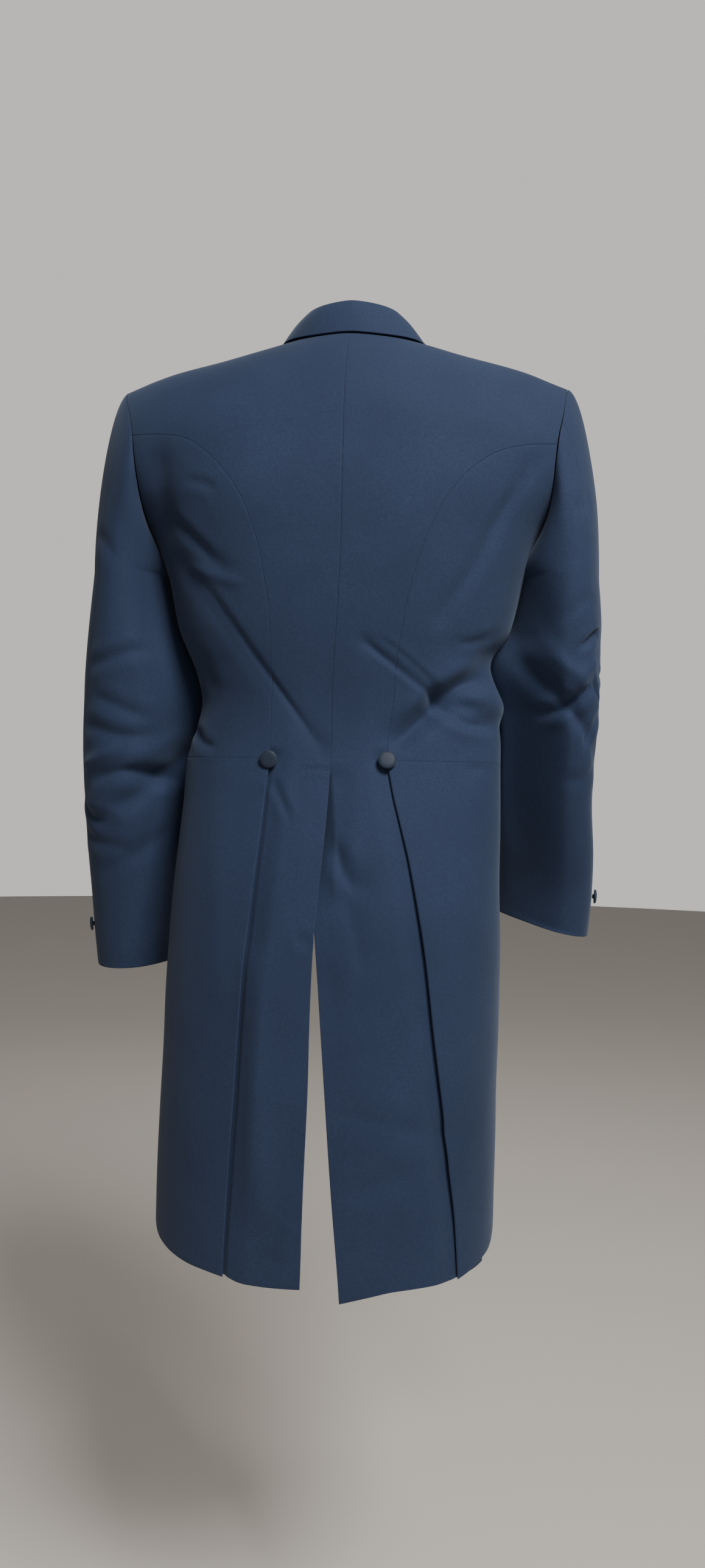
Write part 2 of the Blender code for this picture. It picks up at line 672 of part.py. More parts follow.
def front_edges(side):
    left = side_seam_places(side) + stations(SIDE_SEAM_STATION, STATIONS, side)[1:]
    shoulder = list(reversed(shoulder_places(side, False)))
    left[-1] = shoulder[0]
    edge = [on_front(*FRONT_POINT, side)]
    edge += [front_edge_place(height, side) for height, _ in FRONT_EDGE[1][1:]]
    edge.append(shoulder[-1])
    right = seam(along_places(edge), len(left) - 1)
    bottom = waist_places(side)[WAIST_SIDE_COUNT:]
    free = [bottom[-1]] + [on_front(out, height, side) for out, height in FRONT_BOTTOM[1]] + [right[0]]
    bottom = bottom[:-1] + seam(along_places(free), BOTTOM_COUNT)
    return bottom, shoulder, left, right


def skirt_edges(side):
    """The skirt hangs from the waist seam; its back edge is the pleat, its front edge is cut away."""
    heights = tail_heights(WAIST_Z, TAIL_HEM[side][1][-1][1])
    left = [on_back(pleat_out(height, side), height, side) for height in heights]
    left[-1] = waist_places(side)[0]
    top = waist_places(side)
    front = [at_angle(angle, height) for height, angle in SKIRT_FRONT[1]]
    right = seam(along_places(front), len(left) - 1)
    hem = [left[0]] + [at_angle(angle, height) for angle, height in SKIRT_HEM[side][1]] + [right[0]]
    bottom = seam(along_places(hem), SKIRT_TOP_COUNT)
    return bottom, top, left, right


def arm_axes(height, side):
    """Centre and the two half axes of a sleeve's ring, square to the arm."""

    def centre(at):
        return Vector((SIDES[side] * read(ARMS[side], 1, at), read(ARMS[side], 2, at), at))

    down = centre(height - 0.01) - centre(height + 0.01)
    down.x = 0.0
    down.normalize()
    across = Vector((SIDES[side], 0, 0))
    across = (across - down * across.dot(down)).normalized()
    back = Vector((SIDES[side] * read(ARMS[side], 5, height), 1, 0))
    back = back - down * back.dot(down)
    lowest = ARMS[side][-1][0]
    across.z -= CUFF_DROP[side] / 0.05 * smooth_step(lowest + 0.12, lowest, height)
    return centre(height), across * read(ARMS[side], 3, height), back * read(ARMS[side], 4, height)


def arm_point(turn, height, side):
    centre, across, back = arm_axes(height, side)
    angle = 2 * math.pi * turn
    point = centre + across * math.cos(angle) + back * math.sin(angle)
    lift = 0.0
    for at_turn, at_height, round_half, slant, depth, width in SLEEVE_FOLDS[side]:
        apart = (turn - at_turn + 0.5) % 1.0 - 0.5
        rise = height - at_height - slant * apart / max(round_half, 0.01)
        lift += depth * math.exp(-((rise / width) ** 2) - (apart / round_half) ** 2)
    outward = (across.normalized() * math.cos(angle) + back.normalized() * math.sin(angle)).normalized()
    return point + outward * lift


def armhole_point(turn, side):
    """A point of the armhole seam on the coat's face, by share of a turn."""
    place = armhole_place(turn, side)
    return bare_form(*place, side), form_normal(*place, side)


def cap_point(turn, share, side):
    """The sleeve's cap: from the armhole (0) it turns over and falls into the arm's first ring (1)."""
    start, normal = armhole_point(turn, side)
    start = start + Vector((SIDES[side] * 0.0005, 0, 0))
    end = arm_point(turn, ARMS[side][0][0], side)
    ahead = armhole_point(turn + 0.004, side)[0] - armhole_point(turn - 0.004, side)[0]
    on_from_body = ahead.cross(normal).normalized()
    if on_from_body.x * SIDES[side] < 0:
        on_from_body = -on_from_body
    angle = 2 * math.pi * turn
    under = (1 - math.cos(angle)) / 2
    falling = Vector((SIDES[side] * (0.60 - 0.45 * under), 0.22 * math.sin(angle), -0.75)).normalized()
    lead = on_from_body.lerp(falling, smooth_step(0.0, 0.35, under))
    drop = (start - end).length
    first = start + lead * min(SLEEVE_HEAD + 0.012 * math.sin(angle) ** 2, 0.35 * drop)
    second = end + Vector((0, 0, 0.52 * drop * (1 - 0.5 * under)))
    rest = 1 - share
    return start * rest**3 + first * 3 * rest**2 * share + second * 3 * rest * share**2 + end * share**3


CAP_ROWS = 6
ARM_ROWS = 15


def sleeve_point(turn, down, side):
    """The whole sleeve: down is 0 at the armhole, 1 at the foot of the cap and 2 at the cuff."""
    if down <= 1:
        return cap_point(turn, down, side)
    first, last = ARMS[side][0][0], ARMS[side][-1][0]
    return arm_point(turn, first + (last - first) * (down - 1), side)


def sleeve_panel(name, side, first, last, material, collection):
    """A sleeve panel between the hind-arm and fore-arm seams, from one armhole station to another."""
    columns = last - first
    downs = [i / CAP_ROWS for i in range(CAP_ROWS + 1)] + [1 + i / ARM_ROWS for i in range(1, ARM_ROWS + 1)]
    downs.reverse()
    hind, fore = HIND_TURN[side], FORE_TURN
    outer, normals = [], []
    for i in range(columns + 1):
        column, column_normals = [], []
        for down in downs:
            if first >= HIND_STATION and last <= FORE_STATION:
                start, finish = read(hind, 1, down), read(fore, 1, down)
            else:
                start, finish = read(fore, 1, down), read(hind, 1, down) + 1
            turn = start + (finish - start) * i / columns
            if down == 0:
                turn = station_turn((first + i) % STATIONS, side) + (first + i) // STATIONS
            column.append(sleeve_point(turn, down, side))
            if down <= 1:
                angle = 2 * math.pi * turn
                outward = Vector((math.cos(angle) * SIDES[side], math.sin(angle), 0))
                outward.z = 0.8 * max(0.0, math.cos(2 * math.pi * turn)) * (1 - down)
            else:
                across, back = arm_axes(column[-1].z, side)[1:]
                outward = across * math.cos(2 * math.pi * turn) + back * math.sin(2 * math.pi * turn)
            safe = min(max(down, 0.012), 1.985)
            column_normals.append(
                normal_of(lambda a, b: sleeve_point(a, b, side), turn, safe, outward, 0.006, 0.01)
            )
        outer.append(column)
        normals.append(column_normals)
    outer = inset(outer, SEAM_GAP * 0.6)
    inner = [[point - normal * CLOTH for point, normal in zip(*pair)] for pair in zip(outer, normals)]
    return add_wall(name, outer, inner, material, collection)


def collar_base(along, side):
    """The line the collar stands on: the back neck edge, then the front's edge down to the gorge."""
    neck_share = 0.55
    if along <= neck_share:
        share = along / neck_share
        return neck_curve(math.sin(share * math.pi / 2), side)
    share = (along - neck_share) / (1 - neck_share)
    start = on_front(NECK_POINT_X, shoulder_rise(NECK_POINT_X), side)
    places = [start] + [front_edge_place(height, side) for height in (-0.012, -0.035, GORGE_Z + 0.0018)]
    return along_places(places)(share)


def collar_frame(along, side):
    """Foot of the collar, the coat's normal there, and the way down the coat away from the neck."""
    step = 0.01
    place = collar_base(along, side)
    point = bare_form(*place, side)
    normal = form_normal(*place, side)
    before = bare_form(*collar_base(max(along - step, 0.0), side), side)
    after = bare_form(*collar_base(min(along + step, 1.0), side), side)
    ahead = (after - before).normalized()
    if along < step:
        ahead = Vector((SIDES[side], 0, 0))
    away = ahead.cross(normal).normalized()
    centre = Vector((read(SWAY[1], 1, 0.0), -0.02, 0))
    if away.dot(point - centre) < 0:
        away = -away
    return point, normal, away


def collar_section(along, side):
    """The collar across: up the stand, over the fold and down the leaf. The first points face the neck."""
    point, normal, away = collar_frame(along, side)
    fold_up, fold_in, leaf_out, leaf_lift = (read(COLLAR, i, along) for i in (1, 2, 3, 4))
    flat = smooth_step(0.5, 0.95, along)
    up = (Vector((0, 0, 1)) * (1 - flat) + normal * flat).normalized()
    level_out = Vector((away.x, away.y, 0)).normalized()
    out = (level_out * (1 - flat) + away * flat).normalized()
    foot = point + normal * 0.0022 + away * (-0.0012 * flat)
    fold = foot + up * fold_up - out * fold_in
    end_point, end_normal, end_away = collar_frame(along - COLLAR_END_SLANT * flat, side)
    edge = end_point + end_away * leaf_out + end_normal * (leaf_lift + 0.0006)
    half_round = 0.0030
    over = fold + out * (2 * half_round)
    return [
        foot,
        foot.lerp(fold, 0.5) - out * 0.0006,
        fold - up * half_round,
        fold + out * (half_round * 0.35) - up * (half_round * 0.25),
        fold + out * half_round,
        over - up * (half_round * 0.5),
        over.lerp(edge, 0.35) + out * 0.0012 * (1 - flat) + up * 0.0005,
        over.lerp(edge, 0.7) + out * 0.0010 * (1 - flat) + up * 0.0005,
        edge,
    ]


COLLAR_STEPS = 12
COLLAR_END_SLANT = 0.03


def collar(material, collection):
    """The collar goes once round the neck: a section at each step, joined into one wall."""
    steps = [(i / COLLAR_STEPS, "right") for i in range(COLLAR_STEPS, 0, -1)]
    steps += [(i / COLLAR_STEPS, "left") for i in range(COLLAR_STEPS + 1)]
    outer = [collar_section(along, side) for along, side in steps]
    inner = []
    for i, section in enumerate(outer):
        before, after = outer[max(i - 1, 0)], outer[min(i + 1, len(outer) - 1)]
        row = []
        for j, point in enumerate(section):
            along = after[j] - before[j]
            across = section[min(j + 1, len(section) - 1)] - section[max(j - 1, 0)]
            row.append(point + along.cross(across).normalized() * CLOTH)
        inner.append(row)
    return add_wall("collar", outer, inner, material, collection)


LAPEL_ROWS = 14


def lapel(side, material, collection):
    """A lapel: the front's edge turned back, rounded at its fold and lying just clear of the front."""
    profile = LAPEL_PROFILE[1]
    outer = []
    tip = (LAPEL_EDGE[1][-1][1], LAPEL_EDGE[1][-1][0])
    fold_heights = [BREAK_Z + (GORGE_Z - BREAK_Z) * i / LAPEL_ROWS for i in range(LAPEL_ROWS + 1)]
    edge_heights = [BREAK_Z + (tip[1] - BREAK_Z) * i / LAPEL_ROWS for i in range(LAPEL_ROWS + 1)]
    shares = (0.33, 0.62, 0.84, 1.0)
    corner = (read(FRONT_EDGE[1], 1, GORGE_Z), GORGE_Z)
    for fold_z, edge_z in zip(fold_heights, edge_heights):
        fold = Vector((read(FRONT_EDGE[1], 1, fold_z), fold_z))
        edge = Vector((read(LAPEL_EDGE[1], 1, edge_z), edge_z))
        width = (edge - fold).length
        towards = (edge - fold).normalized()
        level = Vector((1.0, 0.0))
        near_top = smooth_step(-0.16, GORGE_Z, fold_z)
        narrow = min(1.0, width / 0.034)
        spots = []
        for across, lift in profile:
            aim = level.lerp(towards, smooth_step(0.0, 0.03, across))
            spots.append((fold + aim * across * (narrow if across > 0 else 1), lift))
        reach = fold + towards * profile[-1][0] * narrow
        spots += [(reach.lerp(edge, share), LAPEL_LIFT + 0.0007 * (1 - share)) for share in shares]
        column = []
        for spot, lift in spots:
            straight = corner[1] + (spot.x - corner[0]) / (tip[0] - corner[0]) * (tip[1] - corner[1])
            height = spot.y + near_top * (read(LAPEL_TOP[1], 1, spot.x) - straight)
            column.append(form(*on_front(spot.x, height, side), side, lift))
        outer.append(column)
    inner = []
    for i, section in enumerate(outer):
        before, after = outer[max(i - 1, 0)], outer[min(i + 1, len(outer) - 1)]
        row = []
        for j, point in enumerate(section):
            along = after[j] - before[j]
            across = section[min(j + 1, len(section) - 1)] - section[max(j - 1, 0)]
            normal = along.cross(across).normalized() * -SIDES[side]
            row.append(point - normal * CLOTH)
        inner.append(row)
    return add_wall(f"lapel_{side}", outer, inner, material, collection)


def button(name, seat, normal, radius, material, collection):
    """A cloth-covered button on a short shank, turned from its profile and set on the cloth."""
    bm = bmesh.new()
    profile = [bm.verts.new((share * radius, 0, height * radius)) for share, height in BUTTON_PROFILE[1]]
    edges = [bm.edges.new(pair) for pair in zip(profile, profile[1:])]
    bmesh.ops.spin(
        bm, geom=profile + edges, axis=(0, 0, 1), cent=(0, 0, 0), angle=2 * math.pi,
        steps=BUTTON_SIDES, use_merge=True,
    )
    bmesh.ops.remove_doubles(bm, verts=bm.verts, dist=1e-6)
    bmesh.ops.recalc_face_normals(bm, faces=bm.faces)
    mesh = bpy.data.meshes.new(name)
    bm.to_mesh(mesh)
    bm.free()
    mesh.materials.append(material)
    mesh.shade_smooth()
    mesh.set_sharp_from_angle(angle=math.radians(50))
    piece = bpy.data.objects.new(name, mesh)
    piece.location = seat + normal * (BUTTON_SHANK * radius + SEAM_GAP)
    piece.rotation_mode = "QUATERNION"
    piece.rotation_quaternion = normal.to_track_quat("Z", "Y")
    collection.objects.link(piece)
    return piece


def make_material(name, colour, roughness):
    material = bpy.data.materials.new(name)
    material.use_nodes = True
    shader = material.node_tree.nodes["Principled BSDF"]
    shader.inputs["Base Color"].default_value = colour
    shader.inputs["Roughness"].default_value = roughness
    shader.inputs["Metallic"].default_value = 0.0
    material.diffuse_color = colour
    return material


def start_clean():
    for thing in list(bpy.data.objects):
        bpy.data.objects.remove(thing)


def main():
    start_clean()
    coat = bpy.data.collections.new("white_tie_tailcoat")
    bpy.context.scene.collection.children.link(coat)
    wool = make_material("black_wool", CLOTH_COLOUR, 0.85)
    satin = make_material("lapel_satin", SATIN_COLOUR, 0.38)
    covered = make_material("button_cloth", CLOTH_COLOUR, 0.7)

    for side in SIDES:
        body_panel(f"back_{side}", side, back_edges(side), wool, coat, back_lift(side))
        body_panel(f"side_body_{side}", side, side_body_edges(side), wool, coat)
        body_panel(f"front_{side}", side, front_edges(side), wool, coat)
        body_panel(f"skirt_{side}", side, skirt_edges(side), wool, coat)
        sleeve_panel(f"under_sleeve_{side}", side, HIND_STATION, FORE_STATION, wool, coat)
        sleeve_panel(f"top_sleeve_{side}", side, FORE_STATION, STATIONS + HIND_STATION, wool, coat)
        lapel(side, satin, coat)

        seat_place = on_back(SIDE_BACK_SEAM[side][0][1], WAIST_Z - 0.0005, side)
        button(
            f"waist_button_{side}", form(*seat_place, side, SEAM_GAP), form_normal(*seat_place, side),
            BUTTON_RADIUS, covered, coat,
        )
        for number, (out, height) in enumerate(FRONT_BUTTONS[1], 1):
            place = on_front(out, height, side)
            button(
                f"front_button_{side}_{number}", form(*place, side), form_normal(*place, side),
                BUTTON_RADIUS, covered, coat,
            )
        first, last = ARMS[side][0][0], ARMS[side][-1][0]
        height = last + 0.045
        down = 1 + (height - first) / (last - first)
        turn = read(HIND_TURN[side], 1, down) + 0.02
        seat = arm_point(turn, height, side)
        across, back = arm_axes(height, side)[1:]
        angle = 2 * math.pi * turn
        outward = (across * math.cos(angle) + back * math.sin(angle)).normalized()
        normal = normal_of(lambda a, b: arm_point(a, b, side), turn, height, outward, 0.006, 0.002)
        button(f"cuff_button_{side}", seat - normal * SEAM_GAP, normal, CUFF_BUTTON_RADIUS, covered, coat)
    collar(wool, coat)


main()
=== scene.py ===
# %% [markdown]
# # An evening tailcoat, seen from behind
#
# The coat is a set of thin shells of wool, sewn edge to edge and held in the form of a wearer. The
# solids from the CAD step already have that form, with a wall of 2 mm. Here each piece is laid out
# again on the same form with much smaller faces, so that it can carry creases, pressed seams and
# rounded edges, and then it gets its cloth. Metres, +Z up; the coat faces -Y and its left is +X.

# %% Load the fixed frame
import math

import bmesh
import bpy
import numpy as np
from mathutils import Matrix, Vector


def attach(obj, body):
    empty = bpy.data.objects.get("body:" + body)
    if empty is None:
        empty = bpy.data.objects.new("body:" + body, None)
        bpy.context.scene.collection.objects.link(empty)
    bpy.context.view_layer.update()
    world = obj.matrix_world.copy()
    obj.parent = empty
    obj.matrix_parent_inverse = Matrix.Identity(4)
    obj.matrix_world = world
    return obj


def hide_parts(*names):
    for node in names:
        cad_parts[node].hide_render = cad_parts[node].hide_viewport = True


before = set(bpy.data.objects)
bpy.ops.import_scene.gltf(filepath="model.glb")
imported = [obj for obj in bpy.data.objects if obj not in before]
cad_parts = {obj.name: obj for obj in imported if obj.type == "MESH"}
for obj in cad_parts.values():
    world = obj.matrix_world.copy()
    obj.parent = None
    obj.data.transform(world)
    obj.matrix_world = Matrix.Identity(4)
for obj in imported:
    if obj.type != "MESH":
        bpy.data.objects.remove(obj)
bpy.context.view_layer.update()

# %% [markdown]
# ## The measurements of the coat
#
# A tailor keeps a coat as a short list of measures. Ours has level rings round the body, the lines
# of the seams and hems, and rings along each arm. They are the same values as in the solids, so
# that every shell lies where its solid does.

# %% Cloth, shoulders and the rings of the body
CLOTH = 0.002
SEAM_GAP = 0.0003
SHOULDER_ROUND = 0.11
SLOPE_DEPTH = 0.2
SHOULDER_SLOPE = 0.3
SHOULDER_Z = -0.004
SHOULDER_PAD = 0.003
NECK_POINT_X = 0.062
OVAL = 2.4
WAIST_Z = -0.4345
VENT_TOP_Z = -0.4445
SIDES = {"left": 1, "right": -1}
SIDE_COLUMN = {"left": 1, "right": 2}

# level, half width left and right, depth of the back and of the front
RINGS = (
    (0.0, 0.262, 0.262, 0.107, 0.098),
    (-0.06, 0.258, 0.258, 0.109, 0.104),
    (-0.12, 0.25, 0.25, 0.115, 0.114),
    (-0.16, 0.229, 0.23, 0.118, 0.12),
    (-0.19, 0.2085, 0.211, 0.118, 0.122),
    (-0.215, 0.196, 0.197, 0.116, 0.122),
    (-0.25, 0.182, 0.185, 0.112, 0.12),
    (-0.3, 0.171, 0.1725, 0.103, 0.115),
    (-0.325, 0.16, 0.16, 0.098, 0.1125),
    (-0.345, 0.15, 0.161, 0.094, 0.11),
    (-0.375, 0.1435, 0.165, 0.089, 0.107),
    (-0.405, 0.149, 0.166, 0.088, 0.106),
    (-0.435, 0.158, 0.1665, 0.091, 0.107),
    (-0.48, 0.161, 0.1675, 0.102, 0.11),
    (-0.55, 0.167, 0.168, 0.118, 0.113),
    (-0.64, 0.1725, 0.17, 0.129, 0.113),
    (-0.76, 0.176, 0.169, 0.13, 0.112),
    (-0.85, 0.179, 0.1685, 0.127, 0.11),
    (-0.96, 0.18, 0.168, 0.123, 0.108),
)
SWAY = ((0.0, -0.007), (-0.22, -0.0075), (-0.29, -0.0045), (-0.365, 0.0), (-0.96, 0.0))

# %% Seams and edges of the body
ARMHOLE_DEPTH = 0.215
ARMHOLE = (
    (0.0, 0.2265, 0.2265), (-0.02, 0.2232, 0.2225), (-0.06, 0.213, 0.218), (-0.09, 0.2068, 0.2135),
    (-0.12, 0.2035, 0.2108), (-0.16, 0.2005, 0.2085), (-0.19, 0.1985, 0.2045), (-0.215, 0.196, 0.197),
)
SIDE_BACK_SEAM = {
    "left": (
        (WAIST_Z, 0.0597), (-0.4098, 0.0604), (-0.3795, 0.06), (-0.3496, 0.0608), (-0.32, 0.0632),
        (-0.2911, 0.0664), (-0.264, 0.0712), (-0.239, 0.0765), (-0.2186, 0.0823), (-0.1951, 0.0908),
        (-0.1747, 0.1013), (-0.1571, 0.114), (-0.1424, 0.1278), (-0.1292, 0.144), (-0.1225, 0.16),
    ),
    "right": (
        (WAIST_Z, 0.0546), (-0.4019, 0.0567), (-0.3778, 0.059), (-0.3482, 0.0604), (-0.3116, 0.063),
        (-0.2798, 0.0668), (-0.2601, 0.0706), (-0.2408, 0.0762), (-0.2181, 0.0838), (-0.1981, 0.0935),
        (-0.1818, 0.1034), (-0.1649, 0.1168), (-0.1507, 0.133), (-0.1415, 0.1475), (-0.1338, 0.168),
    ),
}
PLEAT_LINE = (
    (-0.945, 0.0918, 0.1338), (-0.876, 0.0895, 0.1294), (-0.825, 0.0866, 0.1228),
    (-0.753, 0.0822, 0.1138), (-0.691, 0.0789, 0.1054), (-0.63, 0.0749, 0.0978),
    (-0.582, 0.071, 0.0895), (-0.532, 0.0667, 0.0791), (-0.501, 0.0642, 0.0708),
    (-0.467, 0.0619, 0.0616), (WAIST_Z, 0.0597, 0.0546),
)
PLAIT_DEPTH = 0.024
VENT_EDGE = (
    (-0.947, 0.0161, 0.0218), (-0.923, 0.0154, 0.0199), (-0.842, 0.0139, 0.0122),
    (-0.75, 0.011, 0.0048), (-0.672, 0.0102, -0.0016), (-0.6086, 0.0088, -0.0077),
    (-0.58, 0.0074, -0.0108), (-0.522, 0.003, -0.0165), (-0.4766, 0.0006, -0.0215),
    (VENT_TOP_Z, 0.0, -0.025),
)
TAIL_HEM = {
    "left": ((0.016, -0.9345), (0.0493, -0.9347), (0.0785, -0.9336), (0.0917, -0.9305)),
    "right": ((0.0217, -0.9462), (0.048, -0.9398), (0.0745, -0.9343), (0.1335, -0.931)),
}
SKIRT_HEM = {
    "left": ((46, -0.9282), (53, -0.9263), (59, -0.9234), (65, -0.9195), (74, -0.912), (81, -0.899)),
    "right": ((63, -0.9262), (70, -0.9205), (76, -0.9165), (81, -0.909), (84.5, -0.8985)),
}
SKIRT_FRONT = (
    (-0.878, 87.5), (-0.835, 90.0), (-0.76, 91.5), (-0.68, 93.5), (-0.61, 96.5), (-0.55, 100.0),
    (-0.505, 104.5), (-0.47, 110.5), (-0.447, 118.0), (WAIST_Z, 127.0),
)
SIDE_SEAM_ANGLE = 99.0
FRONT_EDGE = (
    (-0.468, 0.058), (-0.44, 0.06), (-0.4, 0.062), (-0.355, 0.0645), (-0.3, 0.07),
    (-0.24, 0.0762), (-0.18, 0.0815), (-0.12, 0.085), (-0.07, 0.0855), (-0.035, 0.081),
    (-0.012, 0.074),
)
FRONT_POINT = (0.058, -0.468)
FRONT_BOTTOM = ((0.103, -0.4395), (0.087, -0.4465), (0.071, -0.4568))

# %% Lapels, collar and the rings of the arms
BREAK_Z = -0.352
GORGE_Z = -0.074
LAPEL_EDGE = (
    (BREAK_Z, 0.0685), (-0.325, 0.085), (-0.29, 0.099), (-0.25, 0.1115), (-0.205, 0.1235),
    (-0.16, 0.1345), (-0.115, 0.145), (-0.08, 0.1535), (-0.05, 0.16),
)
LAPEL_TOP = (
    (0.082, -0.0742), (0.0855, -0.074), (0.1, -0.0715), (0.1165, -0.0682),
    (0.129, -0.0645), (0.143, -0.0585), (0.16, -0.05),
)
LAPEL_PROFILE = (
    (-0.0023, -0.002), (-0.0026, 0.0006), (-0.0014, 0.0032),
    (0.002, 0.0047), (0.009, 0.0048), (0.03, 0.004),
)
LAPEL_LIFT = 0.0031
LAPEL_SHARES = (0.33, 0.62, 0.84, 1.0)
# along, how far the fold is up and in, how far the leaf is out and lifted
COLLAR = (
    (0.0, 0.03, 0.006, 0.0105, 0.0036),
    (0.2, 0.0296, 0.009, 0.0105, 0.0036),
    (0.4, 0.028, 0.015, 0.0115, 0.0036),
    (0.55, 0.0235, 0.0175, 0.013, 0.0037),
    (0.7, 0.016, 0.011, 0.018, 0.004),
    (0.85, 0.0095, 0.004, 0.025, 0.0044),
    (1.0, 0.006, 0.0, 0.031, 0.0048),
)
COLLAR_END_SLANT = 0.03
LEAF_DROP = 0.003
# height, centre x and y, half width, half depth, lean
ARMS = {
    "left": (
        (-0.245, 0.2238, -0.002, 0.0358, 0.07, 0.0),
        (-0.3, 0.2214, -0.004, 0.0444, 0.0665, 0.04),
        (-0.345, 0.2129, -0.007, 0.0569, 0.064, 0.1),
        (-0.375, 0.2104, -0.011, 0.0609, 0.063, 0.13),
        (-0.405, 0.2138, -0.015, 0.0588, 0.0615, 0.14),
        (-0.435, 0.2184, -0.02, 0.0544, 0.061, 0.15),
        (-0.47, 0.2184, -0.027, 0.055, 0.06, 0.15),
        (-0.54, 0.2208, -0.042, 0.052, 0.058, 0.12),
        (-0.6, 0.2213, -0.055, 0.049, 0.0565, 0.1),
        (-0.654, 0.2194, -0.066, 0.048, 0.0565, 0.1),
    ),
    "right": (
        (-0.245, 0.2264, -0.002, 0.0354, 0.07, 0.02),
        (-0.3, 0.2216, -0.006, 0.0431, 0.0665, 0.12),
        (-0.325, 0.2141, -0.009, 0.0481, 0.0655, 0.22),
        (-0.345, 0.2138, -0.012, 0.0468, 0.0645, 0.29),
        (-0.375, 0.2151, -0.018, 0.0441, 0.063, 0.34),
        (-0.405, 0.2142, -0.025, 0.0422, 0.0625, 0.38),
        (-0.46, 0.2123, -0.042, 0.043, 0.06, 0.42),
        (-0.52, 0.2167, -0.061, 0.044, 0.0585, 0.42),
        (-0.56, 0.2176, -0.075, 0.045, 0.0575, 0.4),
        (-0.603, 0.2148, -0.088, 0.046, 0.057, 0.38),
    ),
}
CUFF_DROP = {"left": 0.004, "right": 0.01}
SLEEVE_PRESS = {
    "left": (
        (-0.245, 0.004), (-0.3, 0.0062), (-0.405, 0.0056), (-0.44, 0.0048), (-0.47, 0.0022), (-0.65, 0.0),
    ),
    "right": (
        (-0.245, 0.0085), (-0.27, 0.007), (-0.3, 0.007), (-0.325, 0.013), (-0.345, 0.0145),
        (-0.375, 0.009), (-0.405, 0.006), (-0.46, 0.0022), (-0.52, 0.0035), (-0.6, 0.0),
    ),
}
SLEEVE_HOLLOW = {
    "left": ((-0.245, 0.002), (-0.3, 0.009), (-0.36, 0.02), (-0.45, 0.024), (-0.52, 0.014), (-0.65, 0.006)),
    "right": ((-0.245, 0.002), (-0.29, 0.012), (-0.34, 0.024), (-0.42, 0.026), (-0.5, 0.02), (-0.6, 0.01)),
}
HOLLOW_TURN = {"left": 0.415, "right": 0.39}
SLEEVE_HEAD = 0.013
SIDE_BACK_TURN = {"left": 0.228, "right": 0.244}
HIND_TURN = {
    "left": ((0.0, 0.195), (1.0, 0.16), (1.4, 0.1), (2.0, 0.03)),
    "right": ((0.0, 0.195), (1.0, 0.165), (1.4, 0.125), (2.0, 0.05)),
}
FORE_TURN = ((0.0, 0.7), (1.0, 0.69), (2.0, 0.66))

# %% [markdown]
# ## How finely the cloth is divided
#
# The solids have one face every two or three centimetres. Here every one of those steps is split
# again. One number does it for all pieces, because neighbours share the stations of their seam:
# the two edges then follow the same curve, and the gap between them stays even.

# %% Counts of faces
FINER = 8
STATIONS = 20
SIDE_BACK_STATION, SIDE_SEAM_STATION, HIND_STATION, FORE_STATION = 5, 11, 4, 14
SIDE_BACK_COUNT = 15
SIDE_SEAM_COUNT = 15
WAIST_SIDE_COUNT = SIDE_SEAM_STATION - SIDE_BACK_STATION
WAIST_FRONT_COUNT = 4
BOTTOM_COUNT = 3
SHOULDER_COUNT = WAIST_FRONT_COUNT + BOTTOM_COUNT
NECK_COUNT = 4
TAIL_COUNT = 14
CAP_ROWS = 6
ARM_ROWS = 15
COLLAR_STEPS = 12
LAPEL_ROWS = 14


def spaced(first, last, count):
    """Evenly spaced values, with count of the solid's steps between them, each split again."""
    return np.linspace(first, last, count * FINER + 1)


def split_again(values):
    """A solid's row of values with every step split again."""
    return np.interp(spaced(0, len(values) - 1, len(values) - 1), np.arange(len(values)), values)


# %% [markdown]
# ## Reading a table as a smooth curve
#
# A drawn curve goes smoothly through its measured points. A cubic between each two rows, with the
# slope at a row taken from its neighbours, does the same for a whole column of numbers at once.

# %% Smooth curves through tables
def smooth_step(low, high, value):
    share = np.clip((np.asarray(value, float) - low) / (high - low), 0, 1)
    return share * share * (3 - 2 * share)


def read(rows, column, at):
    """A column of a table as a smooth curve, read at values of the table's first column."""
    rows = np.array(sorted(map(tuple, rows)), float)
    keys, values = rows[:, 0], rows[:, column]
    order = np.arange(len(keys))
    before, after = np.maximum(order - 1, 0), np.minimum(order + 1, len(keys) - 1)
    slope = (values[after] - values[before]) / (keys[after] - keys[before])
    at = np.clip(np.asarray(at, float), keys[0], keys[-1])
    i = np.clip(np.searchsorted(keys, at, side="right") - 1, 0, len(keys) - 2)
    span = keys[i + 1] - keys[i]
    t = (at - keys[i]) / span
    return (
        values[i] * (2 * t**3 - 3 * t**2 + 1)
        + slope[i] * span * (t**3 - 2 * t**2 + t)
        + values[i + 1] * (3 * t**2 - 2 * t**3)
        + slope[i + 1] * span * (t**3 - t**2)
    )


# %% [markdown]
# ## The form the cloth lies on
#
# A place on the coat is an angle round the body, from the centre back, and a run, the distance
# over the cloth down from the shoulder line. The ring at that level is a rounded rectangle, called
# a superellipse, and the shoulders slope away from the neck. These few formulas turn any place
# into a point in space.

# %% Places and points on the body
def shoulder_rise(out):
    soft = 0.02
    fall = SHOULDER_SLOPE * (math.hypot(NECK_POINT_X, soft) - np.hypot(out, soft))
    return SHOULDER_Z + fall + SHOULDER_PAD * np.exp(-(((out - 0.18) / 0.04) ** 2))


def level_of(out, height):
    rise = shoulder_rise(out)
    level = (height - rise) / (1 + rise / SLOPE_DEPTH)
    return np.where(level > -SLOPE_DEPTH, level, height)


